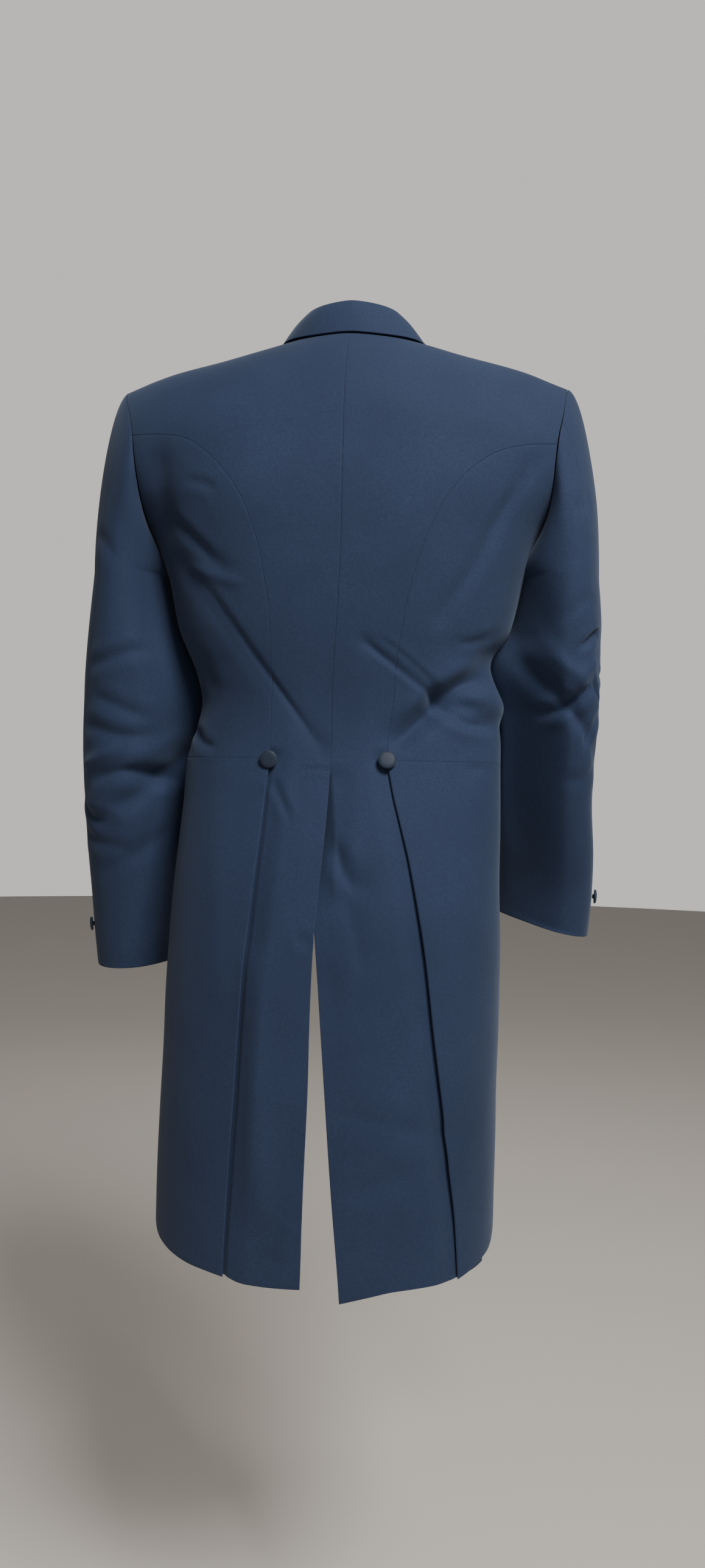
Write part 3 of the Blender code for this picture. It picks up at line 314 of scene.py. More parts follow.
def run_of(level):
    level = np.asarray(level, float)
    turned = np.arccos(np.clip(1 + np.minimum(0.0, level) / SHOULDER_ROUND, -1, 1))
    below = SHOULDER_ROUND * (math.pi / 2 - 1) - level
    return np.where(level > -SHOULDER_ROUND, SHOULDER_ROUND * turned, below)


def level_at(run):
    turned = np.abs(run) / SHOULDER_ROUND
    below = SHOULDER_ROUND * (math.pi / 2 - 1) - np.abs(run)
    return np.where(turned < math.pi / 2, -SHOULDER_ROUND * (1 - np.cos(turned)), below)


def ring(level, side, front):
    half, back_depth, front_depth = (read(RINGS, column, level) for column in (SIDE_COLUMN[side], 3, 4))
    return half, np.where(front, front_depth, back_depth)


def place(angle, run):
    return np.stack(np.broadcast_arrays(angle, run), axis=-1)


def angle_at(out, half, depth):
    share = np.minimum(1.0, out / half)
    return np.degrees(np.arctan2(out, depth * (1 - share**OVAL) ** (1 / OVAL)))


def on_back(out, height, side):
    """The place that shows at a distance out and a height, seen from behind."""
    level = level_of(np.abs(out), height)
    angle = angle_at(np.abs(out), *ring(level, side, False))
    return place(np.copysign(angle, out), run_of(level))


def on_front(out, height, side):
    level = level_of(out, height)
    return place(180 - angle_at(out, *ring(level, side, True)), run_of(level))


def body_point(places, side):
    """Points of the bare form, without folds, at places (angle, run)."""
    angle, run = places[..., 0], places[..., 1]
    level, turn = level_at(run), np.radians(angle)
    half, depth = ring(level, side, np.abs(angle) > 90)
    reach = (np.abs(np.sin(turn) / half) ** OVAL + np.abs(np.cos(turn) / depth) ** OVAL) ** (-1 / OVAL)
    out = reach * np.sin(turn)
    forward = np.sin(np.minimum(np.abs(run) / SHOULDER_ROUND, math.pi / 2))
    back = reach * np.cos(turn) * forward * np.where(run >= 0, 1, -1)
    height = level + shoulder_rise(np.abs(out)) * np.maximum(0.0, 1 + level / SLOPE_DEPTH)
    sway = read(SWAY, 1, level) * (1 - np.minimum(1.0, np.abs(out) / 0.2) ** 2)
    return np.stack((SIDES[side] * out + sway, back, height), axis=-1)


def unit(vectors):
    return vectors / np.maximum(np.linalg.norm(vectors, axis=-1, keepdims=True), 1e-12)


def normals_of(surface, a, b, outward, step_a, step_b):
    """Normals of a surface function of two values, on the side that outward points to."""
    along_a = surface(a + step_a, b) - surface(a - step_a, b)
    along_b = surface(a, b + step_b) - surface(a, b - step_b)
    normal = unit(np.cross(along_a, along_b))
    return normal * np.where(np.sum(normal * outward, axis=-1, keepdims=True) > 0, 1, -1)


def body_normal(places, side):
    point = body_point(places, side)
    angle, run = places[..., 0], places[..., 1]
    outward = np.stack((point[..., 0], point[..., 1], 0.25 * np.maximum(0.0, 0.12 - run)), axis=-1)
    upward = np.broadcast_to(np.array((0.2 * SIDES[side], 0, 1)), point.shape)
    outward = np.where(run[..., None] < 0.03, upward, outward)
    return normals_of(
        lambda a, b: body_point(place(a, b), side), angle, np.maximum(run, 0.0006), outward, 0.05, 0.0005
    )


def raised(places, side, lift):
    return body_point(places, side) + body_normal(places, side) * np.asarray(lift)[..., None]


# %% [markdown]
# ## Seams and edges as rows of places
#
# Each panel is a patch between four edges, as on a paper pattern: bottom, top, left and right. The
# next functions give the edges. A seam that two panels share is one function, called by both.

# %% Curves through places
def along_places(places, shares):
    """Places along a smooth curve through the given ones, at an even pace."""
    places = np.asarray(places, float)
    steps = np.hypot(np.diff(places[:, 0]) / 450, np.diff(places[:, 1]))
    lengths = np.concatenate(([0.0], np.cumsum(steps)))
    rows = np.column_stack((lengths, places))
    return place(*(read(rows, column, np.asarray(shares) * lengths[-1]) for column in (1, 2)))


def station_turn(station, side):
    corner = SIDE_BACK_TURN[side]
    behind = station / SIDE_BACK_STATION * corner
    before = corner + (station - SIDE_BACK_STATION) / (STATIONS - SIDE_BACK_STATION) * (1 - corner)
    return np.where(station <= SIDE_BACK_STATION, behind, before)


def armhole_place(turn, side):
    turn = np.asarray(turn, float) % 1.0
    level = -ARMHOLE_DEPTH * (1 - np.cos(2 * math.pi * turn)) / 2
    half, depth = ring(level, side, turn > 0.5)
    angle = angle_at(np.minimum(read(ARMHOLE, SIDE_COLUMN[side], level), half), half, depth)
    return place(np.where(turn > 0.5, 180 - angle, angle), run_of(level))


def stations(first, last, side):
    return armhole_place(station_turn(spaced(first, last, abs(last - first)), side), side)


def side_back_line(side):
    table = np.array(SIDE_BACK_SEAM[side])
    places = on_back(table[:, 1], table[:, 0], side)
    places = np.vstack((places, armhole_place(SIDE_BACK_TURN[side], side)))
    return along_places(places, spaced(0, 1, SIDE_BACK_COUNT))


def side_seam_line(side):
    top = armhole_place(station_turn(SIDE_SEAM_STATION, side), side)
    share = spaced(0, 1, SIDE_SEAM_COUNT)[:, None]
    waist = place(SIDE_SEAM_ANGLE, run_of(WAIST_Z))
    return waist + (top - waist) * share


def waist_line(side):
    start = on_back(SIDE_BACK_SEAM[side][0][1], WAIST_Z, side)[0]
    behind = spaced(start, SIDE_SEAM_ANGLE, WAIST_SIDE_COUNT)
    before = spaced(SIDE_SEAM_ANGLE, SKIRT_FRONT[-1][1], WAIST_FRONT_COUNT)
    return place(np.concatenate((behind, before[1:])), run_of(WAIST_Z))


NAPE_RUN = 0.0585


def neck_line(share, side):
    end = on_back(NECK_POINT_X, shoulder_rise(NECK_POINT_X), side)[0]
    return place(end * share, NAPE_RUN * np.sqrt(np.maximum(0.0, 1 - share**2.2)))


def shoulder_line(side, back):
    surface = on_back if back else on_front
    neck, tip = (surface(out, shoulder_rise(out), side)[0] for out in (NECK_POINT_X, ARMHOLE[0][1]))
    return place(spaced(neck, tip, SHOULDER_COUNT), 0.0)


def tail_heights(top, bottom):
    """Rows of a tail from its hem up, the last of them close below the waist."""
    close = 0.01
    return split_again(np.append(np.linspace(bottom, top - close, TAIL_COUNT), top))


def pleat_out(height, side):
    return read(PLEAT_LINE, SIDE_COLUMN[side], height)


# %% The four edges of each panel
def back_edges(side):
    hem = np.array(TAIL_HEM[side])
    heights = tail_heights(VENT_TOP_Z, hem[0][1])[: -FINER]
    vent = on_back(read(VENT_EDGE, SIDE_COLUMN[side], heights), heights, side)
    waist_run, corner_run = run_of(WAIST_Z), run_of(-0.175)
    closing = vent[-1] + (place(0.0, waist_run) - vent[-1]) * spaced(0, 1, 1)[1:, None]
    centre_runs = np.concatenate((
        spaced(waist_run, corner_run, SIDE_BACK_COUNT)[1:],
        spaced(corner_run, NAPE_RUN, SIDE_BACK_STATION)[1:],
    ))
    left = np.vstack((vent, closing, place(np.zeros(len(centre_runs)), centre_runs)))
    heights = tail_heights(WAIST_Z, hem[-1][1] + 0.003)[:-1]
    under = PLAIT_DEPTH * smooth_step(WAIST_Z, WAIST_Z - 0.03, heights)
    under += 0.004 * smooth_step(WAIST_Z, WAIST_Z - 0.01, heights)
    plait = on_back(pleat_out(heights, side) + under, heights, side)
    right = np.vstack((plait, side_back_line(side), stations(SIDE_BACK_STATION, 0, side)[1:]))
    hem_places = np.vstack((on_back(hem[:, 0], hem[:, 1], side), right[:1]))
    bottom = along_places(hem_places, spaced(0, 1, NECK_COUNT + SHOULDER_COUNT))
    neck = neck_line(np.sin(spaced(0, 1, NECK_COUNT)[:-1] * math.pi / 2), side)
    return bottom, np.vstack((neck, shoulder_line(side, True))), left, right


def side_body_edges(side):
    bottom = waist_line(side)[: WAIST_SIDE_COUNT * FINER + 1]
    top = stations(SIDE_BACK_STATION, SIDE_SEAM_STATION, side)
    return bottom, top, side_back_line(side), side_seam_line(side)


def front_edges(side):
    shoulder = shoulder_line(side, False)[::-1]
    left = np.vstack((side_seam_line(side), stations(SIDE_SEAM_STATION, STATIONS, side)[1:]))
    left[-1] = shoulder[0]
    edge = np.array(FRONT_EDGE)
    places = np.vstack((
        on_front(*FRONT_POINT, side), on_front(edge[1:, 1], edge[1:, 0], side), shoulder[-1:],
    ))
    right = along_places(places, np.linspace(0, 1, len(left)))
    waist = waist_line(side)[WAIST_SIDE_COUNT * FINER:]
    free = np.array(FRONT_BOTTOM)
    free = np.vstack((waist[-1:], on_front(free[:, 0], free[:, 1], side), right[:1]))
    bottom = np.vstack((waist[:-1], along_places(free, spaced(0, 1, BOTTOM_COUNT))))
    return bottom, shoulder, left, right


def skirt_edges(side):
    heights = tail_heights(WAIST_Z, TAIL_HEM[side][-1][1])
    left = on_back(pleat_out(heights, side), heights, side)
    top = waist_line(side)
    left[-1] = top[0]
    front = np.array(SKIRT_FRONT)
    right = along_places(place(front[:, 1], run_of(front[:, 0])), np.linspace(0, 1, len(left)))
    hem = np.array(SKIRT_HEM[side])
    hem_places = np.vstack((left[:1], place(hem[:, 0], run_of(hem[:, 1])), right[:1]))
    bottom = along_places(hem_places, spaced(0, 1, WAIST_SIDE_COUNT + WAIST_FRONT_COUNT))
    return bottom, top, left, right


PLACE_SCALE = np.array((0.0022, 1.0))


def patch(bottom, top, left, right, rounds=120):
    """Fills the space between four edges, as a grid of places [column][row], and evens it out."""
    u = np.linspace(0, 1, len(bottom))[:, None, None]
    v = np.linspace(0, 1, len(left))[None, :, None]
    across = (1 - v) * bottom[:, None] + v * top[:, None]
    up = (1 - u) * left[None] + u * right[None]
    corners = (
        (1 - u) * (1 - v) * bottom[0] + u * (1 - v) * bottom[-1] + (1 - u) * v * top[0] + u * v * top[-1]
    )
    grid = (across + up - corners) * PLACE_SCALE
    for _ in range(rounds):
        inside = grid[1:-1, 1:-1]
        along_u, along_v = (grid[2:, 1:-1] - grid[:-2, 1:-1]) / 2, (grid[1:-1, 2:] - grid[1:-1, :-2]) / 2
        uu, vv, uv = (
            np.sum(a * b, axis=-1, keepdims=True)
            for a, b in ((along_u, along_u), (along_v, along_v), (along_u, along_v))
        )
        twist = (grid[2:, 2:] - grid[2:, :-2] - grid[:-2, 2:] + grid[:-2, :-2]) / 4
        pulled = vv * (grid[2:, 1:-1] + grid[:-2, 1:-1]) + uu * (grid[1:-1, 2:] + grid[1:-1, :-2])
        inside[...] = (pulled - 2 * uv * twist) / np.maximum(2 * (uu + vv), 1e-16)
    return grid / PLACE_SCALE


# %% [markdown]
# ## Creases and soft folds
#
# Wool does not lie flat where the body bends: it drags into creases that start sharp, fade out and
# are never the same twice. Each crease is drawn as a short path. Across it the cloth sinks
# into a trough, or stands up in a ridge, and swells a little on both sides, as the pushed cloth
# has to go somewhere. A displaced texture could add wrinkles everywhere, but it could not put
# these few where a tailcoat has them.

# %% How a crease changes the surface
def smooth_path(points, pieces=6):
    points = np.asarray(points, float)
    if len(points) == 2:
        return points
    rows = np.column_stack((np.arange(len(points)), points))
    at = np.linspace(0, len(points) - 1, (len(points) - 1) * pieces + 1)
    return np.column_stack([read(rows, column, at) for column in (1, 2)])


def from_path(spots, path):
    """Distance of each spot from a path, and how far along the path its nearest point is, 0 to 1."""
    lengths = np.concatenate(([0.0], np.cumsum(np.linalg.norm(np.diff(path, axis=0), axis=1))))
    nearest = np.full(spots.shape[:-1], np.inf)
    share = np.zeros(spots.shape[:-1])
    for i, (a, b) in enumerate(zip(path, path[1:])):
        along = b - a
        t = np.clip(((spots - a) @ along) / max(along @ along, 1e-12), 0, 1)
        apart = np.linalg.norm(spots - a - t[..., None] * along, axis=-1)
        closer = apart < nearest
        nearest = np.where(closer, apart, nearest)
        share = np.where(closer, (lengths[i] + t * (lengths[i + 1] - lengths[i])) / lengths[-1], share)
    return nearest, share


def crease_lift(spots, creases):
    """How far creases move the cloth out, where each starts and ends at nothing."""
    total = np.zeros(spots.shape[:-1])
    for depth, width, swell, points in creases:
        apart, share = from_path(spots, smooth_path(points))
        fade = smooth_step(0, 0.28, share) * smooth_step(1, 0.72, share)
        trough = 1 / (1 + (apart / width) ** 2) ** 1.5
        beside = np.exp(-(((apart - 2.2 * width) / (1.3 * width)) ** 2))
        total += depth * fade * (trough - swell * beside)
    return total


BODY_WAVES, SLEEVE_WAVES = 0.00028, 0.0003


def soft_unevenness(spots, height):
    """The slight wave that any pressed cloth keeps, the same on each run."""
    x, z = spots[..., 0], spots[..., 1]
    return height * (
        np.sin(41 * x + 13 * z + 0.7) * np.sin(17 * z - 9 * x + 2.1)
        + 0.6 * np.sin(67 * x - 29 * z + 1.3) * np.sin(37 * z + 5 * x + 0.4)
        + 0.35 * np.sin(103 * x + 59 * z + 4.0)
    )


# %% Large folds, the same as in the solids
# out and height of both ends, depth, width
BACK_FOLDS = {
    "right": (
        (0.148, -0.342, 0.068, -0.408, -0.008, 0.016),
        (0.034, -0.324, 0.099, -0.367, -0.0026, 0.007),
        (0.1, -0.37, 0.15, -0.392, -0.005, 0.01),
        (0.147, -0.372, 0.16, -0.376, 0.004, 0.012),
        (0.186, -0.15, 0.105, -0.294, -0.0026, 0.009),
        (0.012, -0.527, 0.031, -0.549, -0.0025, 0.01),
    ),
    "left": (
        (0.155, -0.243, 0.014, -0.418, -0.0024, 0.009),
        (0.176, -0.153, 0.176, -0.205, -0.005, 0.014),
        (0.164, -0.204, 0.114, -0.247, -0.002, 0.008),
        (0.068, -0.636, 0.056, -0.855, 0.003, 0.014),
        (0.113, -0.5, 0.105, -0.64, 0.0022, 0.018),
    ),
}
# turn of the arm, height, half its length in turns, slant, depth, width
SLEEVE_FOLDS = {
    "left": (
        (0.34, -0.455, 0.13, 0.03, -0.0075, 0.014),
        (0.3, -0.43, 0.12, 0.03, 0.003, 0.011),
        (0.32, -0.52, 0.12, 0.02, -0.0035, 0.012),
        (0.16, -0.225, 0.07, 0.0, -0.0025, 0.01),
    ),
    "right": (
        (0.27, -0.362, 0.12, 0.04, -0.0075, 0.013),
        (0.24, -0.335, 0.1, 0.03, 0.003, 0.01),
        (0.12, -0.305, 0.06, 0.0, -0.003, 0.009),
        (0.18, -0.18, 0.08, 0.04, -0.0035, 0.014),
    ),
}


def large_folds(spots, folds):
    total = np.zeros(spots.shape[:-1])
    for out_a, height_a, out_b, height_b, depth, width in folds:
        start, along = np.array((out_a, height_a)), np.array((out_b - out_a, height_b - height_a))
        length = np.linalg.norm(along)
        offset = spots - start
        forward = offset @ (along / length)
        across = (offset[..., 0] * along[1] - offset[..., 1] * along[0]) / length
        beyond = np.maximum(0.0, np.maximum(-forward, forward - length))
        total += depth * np.exp(-((across / width) ** 2) - (beyond / (1.5 * width)) ** 2)
    return total


# %% Creases of the back, as (depth, width, swell beside, path of (out, height))
BACK_CREASES = {
    "left": (
        (-0.0014, 0.0026, 0.45, (
            (0.1566, -0.2421), (0.1321, -0.2622), (0.1072, -0.2927), (0.0716, -0.342),
            (0.0346, -0.3911), (0.006, -0.429),
        )),
        (-0.0016, 0.0038, 0.5, ((0.169, -0.1939), (0.1357, -0.2249), (0.1137, -0.2471))),
        (0.0016, 0.005, 0.3, ((0.1559, -0.2427), (0.1135, -0.2591), (0.0808, -0.2686))),
        (-0.0014, 0.004, 0.4, ((0.15, -0.166), (0.13, -0.17), (0.112, -0.179))),
        (-0.0024, 0.0045, 0.4, ((0.148, -0.401), (0.133, -0.419), (0.115, -0.4257))),
        (-0.0018, 0.0036, 0.5, ((0.062, -0.451), (0.052, -0.464), (0.039, -0.488), (0.033, -0.496))),
        (-0.0015, 0.006, 0.4, ((0.15, -0.32), (0.134, -0.342), (0.118, -0.374))),
        (-0.0009, 0.002, 0.7, ((-0.006, -0.4446), (0.012, -0.4446), (0.033, -0.4452))),
        (-0.0014, 0.005, 0.4, ((0.0281, -0.6037), (0.0088, -0.6103))),
        (0.0016, 0.01, 0.2, ((0.0194, -0.8663), (0.0427, -0.9076))),
    ),
    "right": (
        (-0.0017, 0.0042, 0.5, (
            (0.1856, -0.1509), (0.17, -0.179), (0.1529, -0.2092), (0.1415, -0.2378),
            (0.1336, -0.2533), (0.1207, -0.2719), (0.1046, -0.2939),
        )),
        (-0.0014, 0.0022, 0.6, ((0.025, -0.317), (0.048, -0.335), (0.076, -0.356), (0.108, -0.379))),
        (-0.001, 0.0022, 0.5, ((0.038, -0.313), (0.06, -0.327), (0.085, -0.347), (0.106, -0.366))),
        (-0.0062, 0.0075, 0.2, (
            (0.164, -0.348), (0.136, -0.356), (0.112, -0.37), (0.074, -0.408), (0.05, -0.426),
        )),
        (-0.004, 0.01, 0.1, ((0.156, -0.38), (0.13, -0.38), (0.106, -0.388), (0.082, -0.412))),
        (-0.004, 0.005, 0.4, ((0.086, -0.362), (0.108, -0.382), (0.132, -0.396), (0.164, -0.399))),
        (0.003, 0.008, 0.1, ((0.15, -0.33), (0.118, -0.348), (0.09, -0.368), (0.06, -0.4))),
        (-0.0015, 0.0036, 0.5, ((0.16, -0.298), (0.148, -0.312), (0.128, -0.319), (0.116, -0.319))),
        (-0.0012, 0.0045, 0.3, ((0.125, -0.442), (0.142, -0.44), (0.158, -0.443))),
        (-0.0024, 0.0055, 0.4, ((0.009, -0.505), (0.013, -0.533), (0.024, -0.552), (0.034, -0.564))),
        (-0.002, 0.011, 0.4, ((0.015, -0.55), (0.028, -0.59), (0.038, -0.64))),
        (-0.0014, 0.01, 0.5, (
            (0.0146, -0.768), (0.0622, -0.7758), (0.1126, -0.788), (0.1498, -0.7856),
        )),
        (-0.0012, 0.01, 0.5, ((0.0187, -0.8499), (0.0631, -0.8304), (0.1003, -0.8325))),
    ),
}

# %% Creases of the fronts, which the wearer's sides carry round from the back
FRONT_CREASES = {
    "left": (
        (-0.0014, 0.006, 0.4, ((0.15, -0.3), (0.118, -0.33), (0.086, -0.366))),
        (-0.0011, 0.005, 0.4, ((0.152, -0.352), (0.124, -0.372), (0.092, -0.392))),
        (-0.0016, 0.008, 0.3, ((0.182, -0.19), (0.16, -0.22), (0.142, -0.262))),
        (-0.001, 0.005, 0.4, ((0.149, -0.398), (0.128, -0.412), (0.106, -0.42))),
    ),
    "right": (
        (-0.0016, 0.006, 0.4, ((0.152, -0.318), (0.122, -0.344), (0.094, -0.356))),
        (-0.0012, 0.0055, 0.4, ((0.158, -0.372), (0.13, -0.38), (0.1, -0.4))),
        (-0.0013, 0.007, 0.3, ((0.18, -0.205), (0.163, -0.232), (0.15, -0.27))),
        (-0.0009, 0.0045, 0.4, ((0.118, -0.396), (0.098, -0.414), (0.08, -0.42))),
    ),
}


def body_lift(places, side):
    """Folds, creases and slight waves at places of the body."""
    point = body_point(places, side)
    out, height = point[..., 0], point[..., 2]
    angle = np.abs(places[..., 0])
    behind, before = smooth_step(116, 92, angle), smooth_step(96, 112, angle)
    total = soft_unevenness(np.stack((out + 0.4 * np.abs(point[..., 1]), height), axis=-1), BODY_WAVES)
    for name, sign in SIDES.items():
        spots = np.stack((sign * out, height), axis=-1)
        back = large_folds(spots, BACK_FOLDS[name]) + crease_lift(spots, BACK_CREASES[name])
        total += back * behind
    spots = np.stack((np.abs(out), height), axis=-1)
    return total + crease_lift(spots, FRONT_CREASES[side]) * before


def under_laps(places, side):
    """The back drops under the skirt beside the pleat and, on the right, under the vent's edge."""
    level = level_at(places[..., 1])
    out = SIDES[side] * (body_point(places, side)[..., 0] - read(SWAY, 1, level))
    below_waist = smooth_step(-0.421, WAIST_Z + 0.001, level)
    gape = 0.0025 * smooth_step(-0.47, -0.62, level) * smooth_step(-0.93, -0.8, level)
    edge = pleat_out(np.minimum(level, WAIST_Z), side)
    near_pleat = smooth_step(0, 1, (out - edge + 0.024) / 0.022)
    total = -(0.003 * below_waist + gape) * near_pleat
    beside_pleat = smooth_step(-0.0042, 0.001, out - edge) * smooth_step(WAIST_Z, WAIST_Z - 0.02, level)
    total -= (0.0022 if side == "left" else 0.001) * beside_pleat
    if side == "right":
        beside = smooth_step(-0.438, -0.456, level) * (1 - 0.8 * smooth_step(-0.62, -0.75, level))
        under = smooth_step(0.0005, -0.004, out) * smooth_step(-0.8, -0.7, level)
        total -= 0.003 * np.maximum(beside * smooth_step(0.03, 0.003, out), under)
        total -= vent_hollow(out, level)
    return total


# level, where its border is, slope
VENT_HOLLOW = (
    (-0.66, 0.01, 0.0), (-0.59, 0.0095, 0.12), (-0.55, 0.0088, 0.4), (-0.512, 0.0078, 0.8),
    (-0.48, 0.005, 0.95), (-0.458, 0.0024, 0.9), (-0.45, 0.0012, 0.6), (VENT_TOP_Z, 0.0004, 0.0),
)


def vent_hollow(out, level):
    """Below the top of the vent the right tail turns in under the left one, in a narrow triangle."""
    border = read(VENT_HOLLOW, 1, level)
    slope = read(VENT_HOLLOW, 2, level)
    inward = border - out
    return slope * (np.sqrt(inward**2 + 0.0012**2) + inward) / 2 * smooth_step(0.03, 0.016, inward)


# %% [markdown]
# ## From a grid of points to a wall of cloth
#
# A grid primitive gives the faces, and extruding its whole region, with the original kept, gives a
# second layer joined round the rim: a closed wall. Its points are then laid on the form. A few
# extra rows of points close to each edge, each deeper than the last, turn the cut edge into the
# soft roll of pressed cloth, so that light catches a hem and sinks into a seam. A bevel would do
# this too, but it rounds a seam unevenly where the faces on both sides differ in size.

# %% Roll the edges of the cloth
EDGE_ROLL = 0.0006
WAIST_ROLL = 0.00025
ROLL_TURNS = np.radians((0, 30, 60, 90))
POINT, NORMAL, WEAVE, DEPTH = slice(0, 3), slice(3, 6), slice(6, 8), slice(8, 9)


def unwrapped(points, axis):
    """Distance over the cloth along one way of a grid of points."""
    steps = np.linalg.norm(np.diff(points, axis=axis), axis=-1)
    start = np.zeros_like(np.take(steps, [0], axis=axis))
    return np.concatenate((start, np.cumsum(steps, axis=axis)), axis=axis)


def crossed(points):
    return unit(np.cross(np.gradient(points, axis=0), np.gradient(points, axis=1)))


def grid_normals(points, inside):
    """Normals of a grid of points, pointing away from a point inside, or from a row of them."""
    normals = crossed(points)
    return normals if np.sum(normals * (points - inside)) > 0 else -normals


def with_rolled_edges(points, normals, weave, rolls):
    """Adds rows of points close to the four edges, each row deeper, like a quarter of a rod."""
    grid = np.concatenate((points, normals, weave, np.zeros(points.shape[:2] + (1,))), axis=-1)
    for axis in (0, 1):
        grid = np.moveaxis(grid, axis, 0)
        ends = []
        for end, widest in zip((0, -1), rolls[2 * axis:]):
            edge, inner = grid[end], grid[1 + 3 * end]
            apart = np.linalg.norm(inner[..., POINT] - edge[..., POINT], axis=-1, keepdims=True)
            roll = np.minimum(widest, 0.7 * apart)
            rows = []
            for turn in ROLL_TURNS:
                row = edge + (inner - edge) * roll * (1 - np.cos(turn)) / np.maximum(apart, 1e-9)
                row[..., DEPTH] = np.maximum(row[..., DEPTH], roll * (1 - np.sin(turn)))
                rows.append(row)
            ends.append(np.stack(rows))
        grid = np.moveaxis(np.concatenate((ends[0], grid[1:-1], ends[1][::-1])), 0, axis)
    return grid


# %% Sew a wall of cloth
coat = bpy.data.collections.new("coat")
bpy.context.scene.collection.children.link(coat)


def add_piece(name, shape, slot, *nodes):
    piece = bpy.data.objects.new(name, shape)
    coat.objects.link(piece)
    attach(piece, "root")
    if nodes:
        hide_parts(*nodes)
    return piece


def cloth_wall(name, points, normals, slot, materials, weave=None, rolls=(EDGE_ROLL,) * 4):
    """A closed wall of cloth behind a grid of points, its edges rolled on both faces."""
    if weave is None:
        weave = np.stack((unwrapped(points, 0), unwrapped(points, 1)), axis=-1)
    grid = with_rolled_edges(points, normals, weave, rolls)
    face = grid[..., POINT] - grid[..., NORMAL] * grid[..., DEPTH]
    back = grid[..., POINT] - grid[..., NORMAL] * (CLOTH - grid[..., DEPTH])
    columns, rows = grid.shape[0] - 1, grid.shape[1] - 1
    bm = bmesh.new()
    uv = bm.loops.layers.uv.new("Cloth")
    bmesh.ops.create_grid(bm, x_segments=columns, y_segments=rows, size=0.5)
    face_side = bm.verts[:]
    extruded = bmesh.ops.extrude_face_region(bm, geom=bm.faces[:], use_keep_orig=True)["geom"]
    back_side = [item for item in extruded if isinstance(item, bmesh.types.BMVert)]
    for item in extruded:
        if isinstance(item, bmesh.types.BMFace):
            item.material_index = 1
    spot = {}
    for verts, layer in ((face_side, face), (back_side, back)):
        for vert in verts:
            i, j = round((vert.co.x + 0.5) * columns), round((vert.co.y + 0.5) * rows)
            spot[vert] = grid[i, j, WEAVE]
            vert.co = layer[i, j]
    for side_face in bm.faces:
        side_face.smooth = True
        for loop in side_face.loops:
            loop[uv].uv = spot[loop.vert]
    if bm.calc_volume(signed=True) < 0:
        bmesh.ops.reverse_faces(bm, faces=bm.faces)
    mesh = bpy.data.meshes.new(f"{name}_cloth")
    bm.to_mesh(mesh)
    bm.free()
    for material in materials:
        mesh.materials.append(material)
    piece = add_piece(f"{name}_cloth", mesh, slot, name)


# %% [markdown]
# ## The cloth
#
# Evening coats are cut from a fine barathea or twill wool: matt, nearly black, and blue in a cool
# light. Close up there are small diagonal ribs; from a step away they are gone, and what is left is
# a soft bloom of fibres, which the sheen of the shader gives, and a slight mottle. The ribs are a
# wave texture on the cloth's own coordinates, in metres, so they turn with each panel's grain.

# %% Node helpers
def feed(owner, node, **values):
    """Sets a node's settings and inputs; an output given for an input is linked to it."""
    for name, value in values.items():
        if hasattr(node, name):
            setattr(node, name, value)
            continue
        socket = node.inputs[name.replace("_", " ")]
        if isinstance(value, bpy.types.NodeSocket):
            owner.node_tree.links.new(value, socket)
        else:
            socket.default_value = value


def add_node(owner, kind, output, **values):
    """Adds a node and gives back one of its outputs."""
    node = owner.node_tree.nodes.new(f"ShaderNode{kind}")
    feed(owner, node, **values)
    return node.outputs[output]


def new_material(name):
    material = bpy.data.materials.new(name)
    material.use_nodes = True
    return material, material.node_tree.nodes["Principled BSDF"]


def ribs_of(material, direction, width, turn, **values):
    """Woven ribs on the cloth's own coordinates, in metres."""
    uv = add_node(material, "UVMap", "UV", uv_map="Cloth")
    grain = add_node(material, "Mapping", "Vector", Vector=uv, Rotation=(0, 0, turn))
    waves = 2 * math.pi / (20 * width)
    bands = {"wave_type": "BANDS", "bands_direction": direction}
    return add_node(material, "TexWave", "Fac", Vector=grain, Scale=waves, **bands, **values)


# %% Wool, satin and lining
BLOOM, FIBRE_DEPTH = 0.0022, 0.00025      # size of the fibres' mottle, and its depth
TWILL_RIB, TWILL_DEPTH = 0.0009, 0.00008
SATIN_THREAD, SATIN_DEPTH = 0.0006, 0.00004
SHEEN = (0.55, 0.68, 0.9, 1.0)


def wool(name, colour, light_colour, roughness=0.82):
    material, shader = new_material(name)
    where = add_node(material, "TexCoord", "Object")
    mottle = add_node(material, "TexNoise", "Fac", Vector=where, Scale=1 / BLOOM, Detail=4.0)
    wear = add_node(material, "TexNoise", "Fac", Vector=where, Scale=9.0, Detail=3.0)
    both = add_node(material, "Mix", "Result", data_type="FLOAT", Factor=wear, B=mottle)
    share = add_node(material, "MapRange", "Result", From_Min=0.12, From_Max=0.42, Value=both)
    tone = add_node(material, "Mix", "Result", data_type="RGBA", Factor=share, A=colour, B=light_colour)
    fibres = add_node(material, "Bump", "Normal", Strength=0.35, Distance=FIBRE_DEPTH, Height=mottle)
    ribs = ribs_of(material, "X", TWILL_RIB, math.radians(27), Distortion=1.2, Detail=2.0)
    rough = {"Strength": 0.35, "Distance": TWILL_DEPTH}
    weave = add_node(material, "Bump", "Normal", Height=ribs, Normal=fibres, **rough)
    feed(
        material, shader, Base_Color=tone, Normal=weave, Roughness=roughness, IOR=1.45,
        Specular_IOR_Level=0.25, Sheen_Weight=0.12, Sheen_Roughness=0.5, Sheen_Tint=SHEEN,
    )
    return material


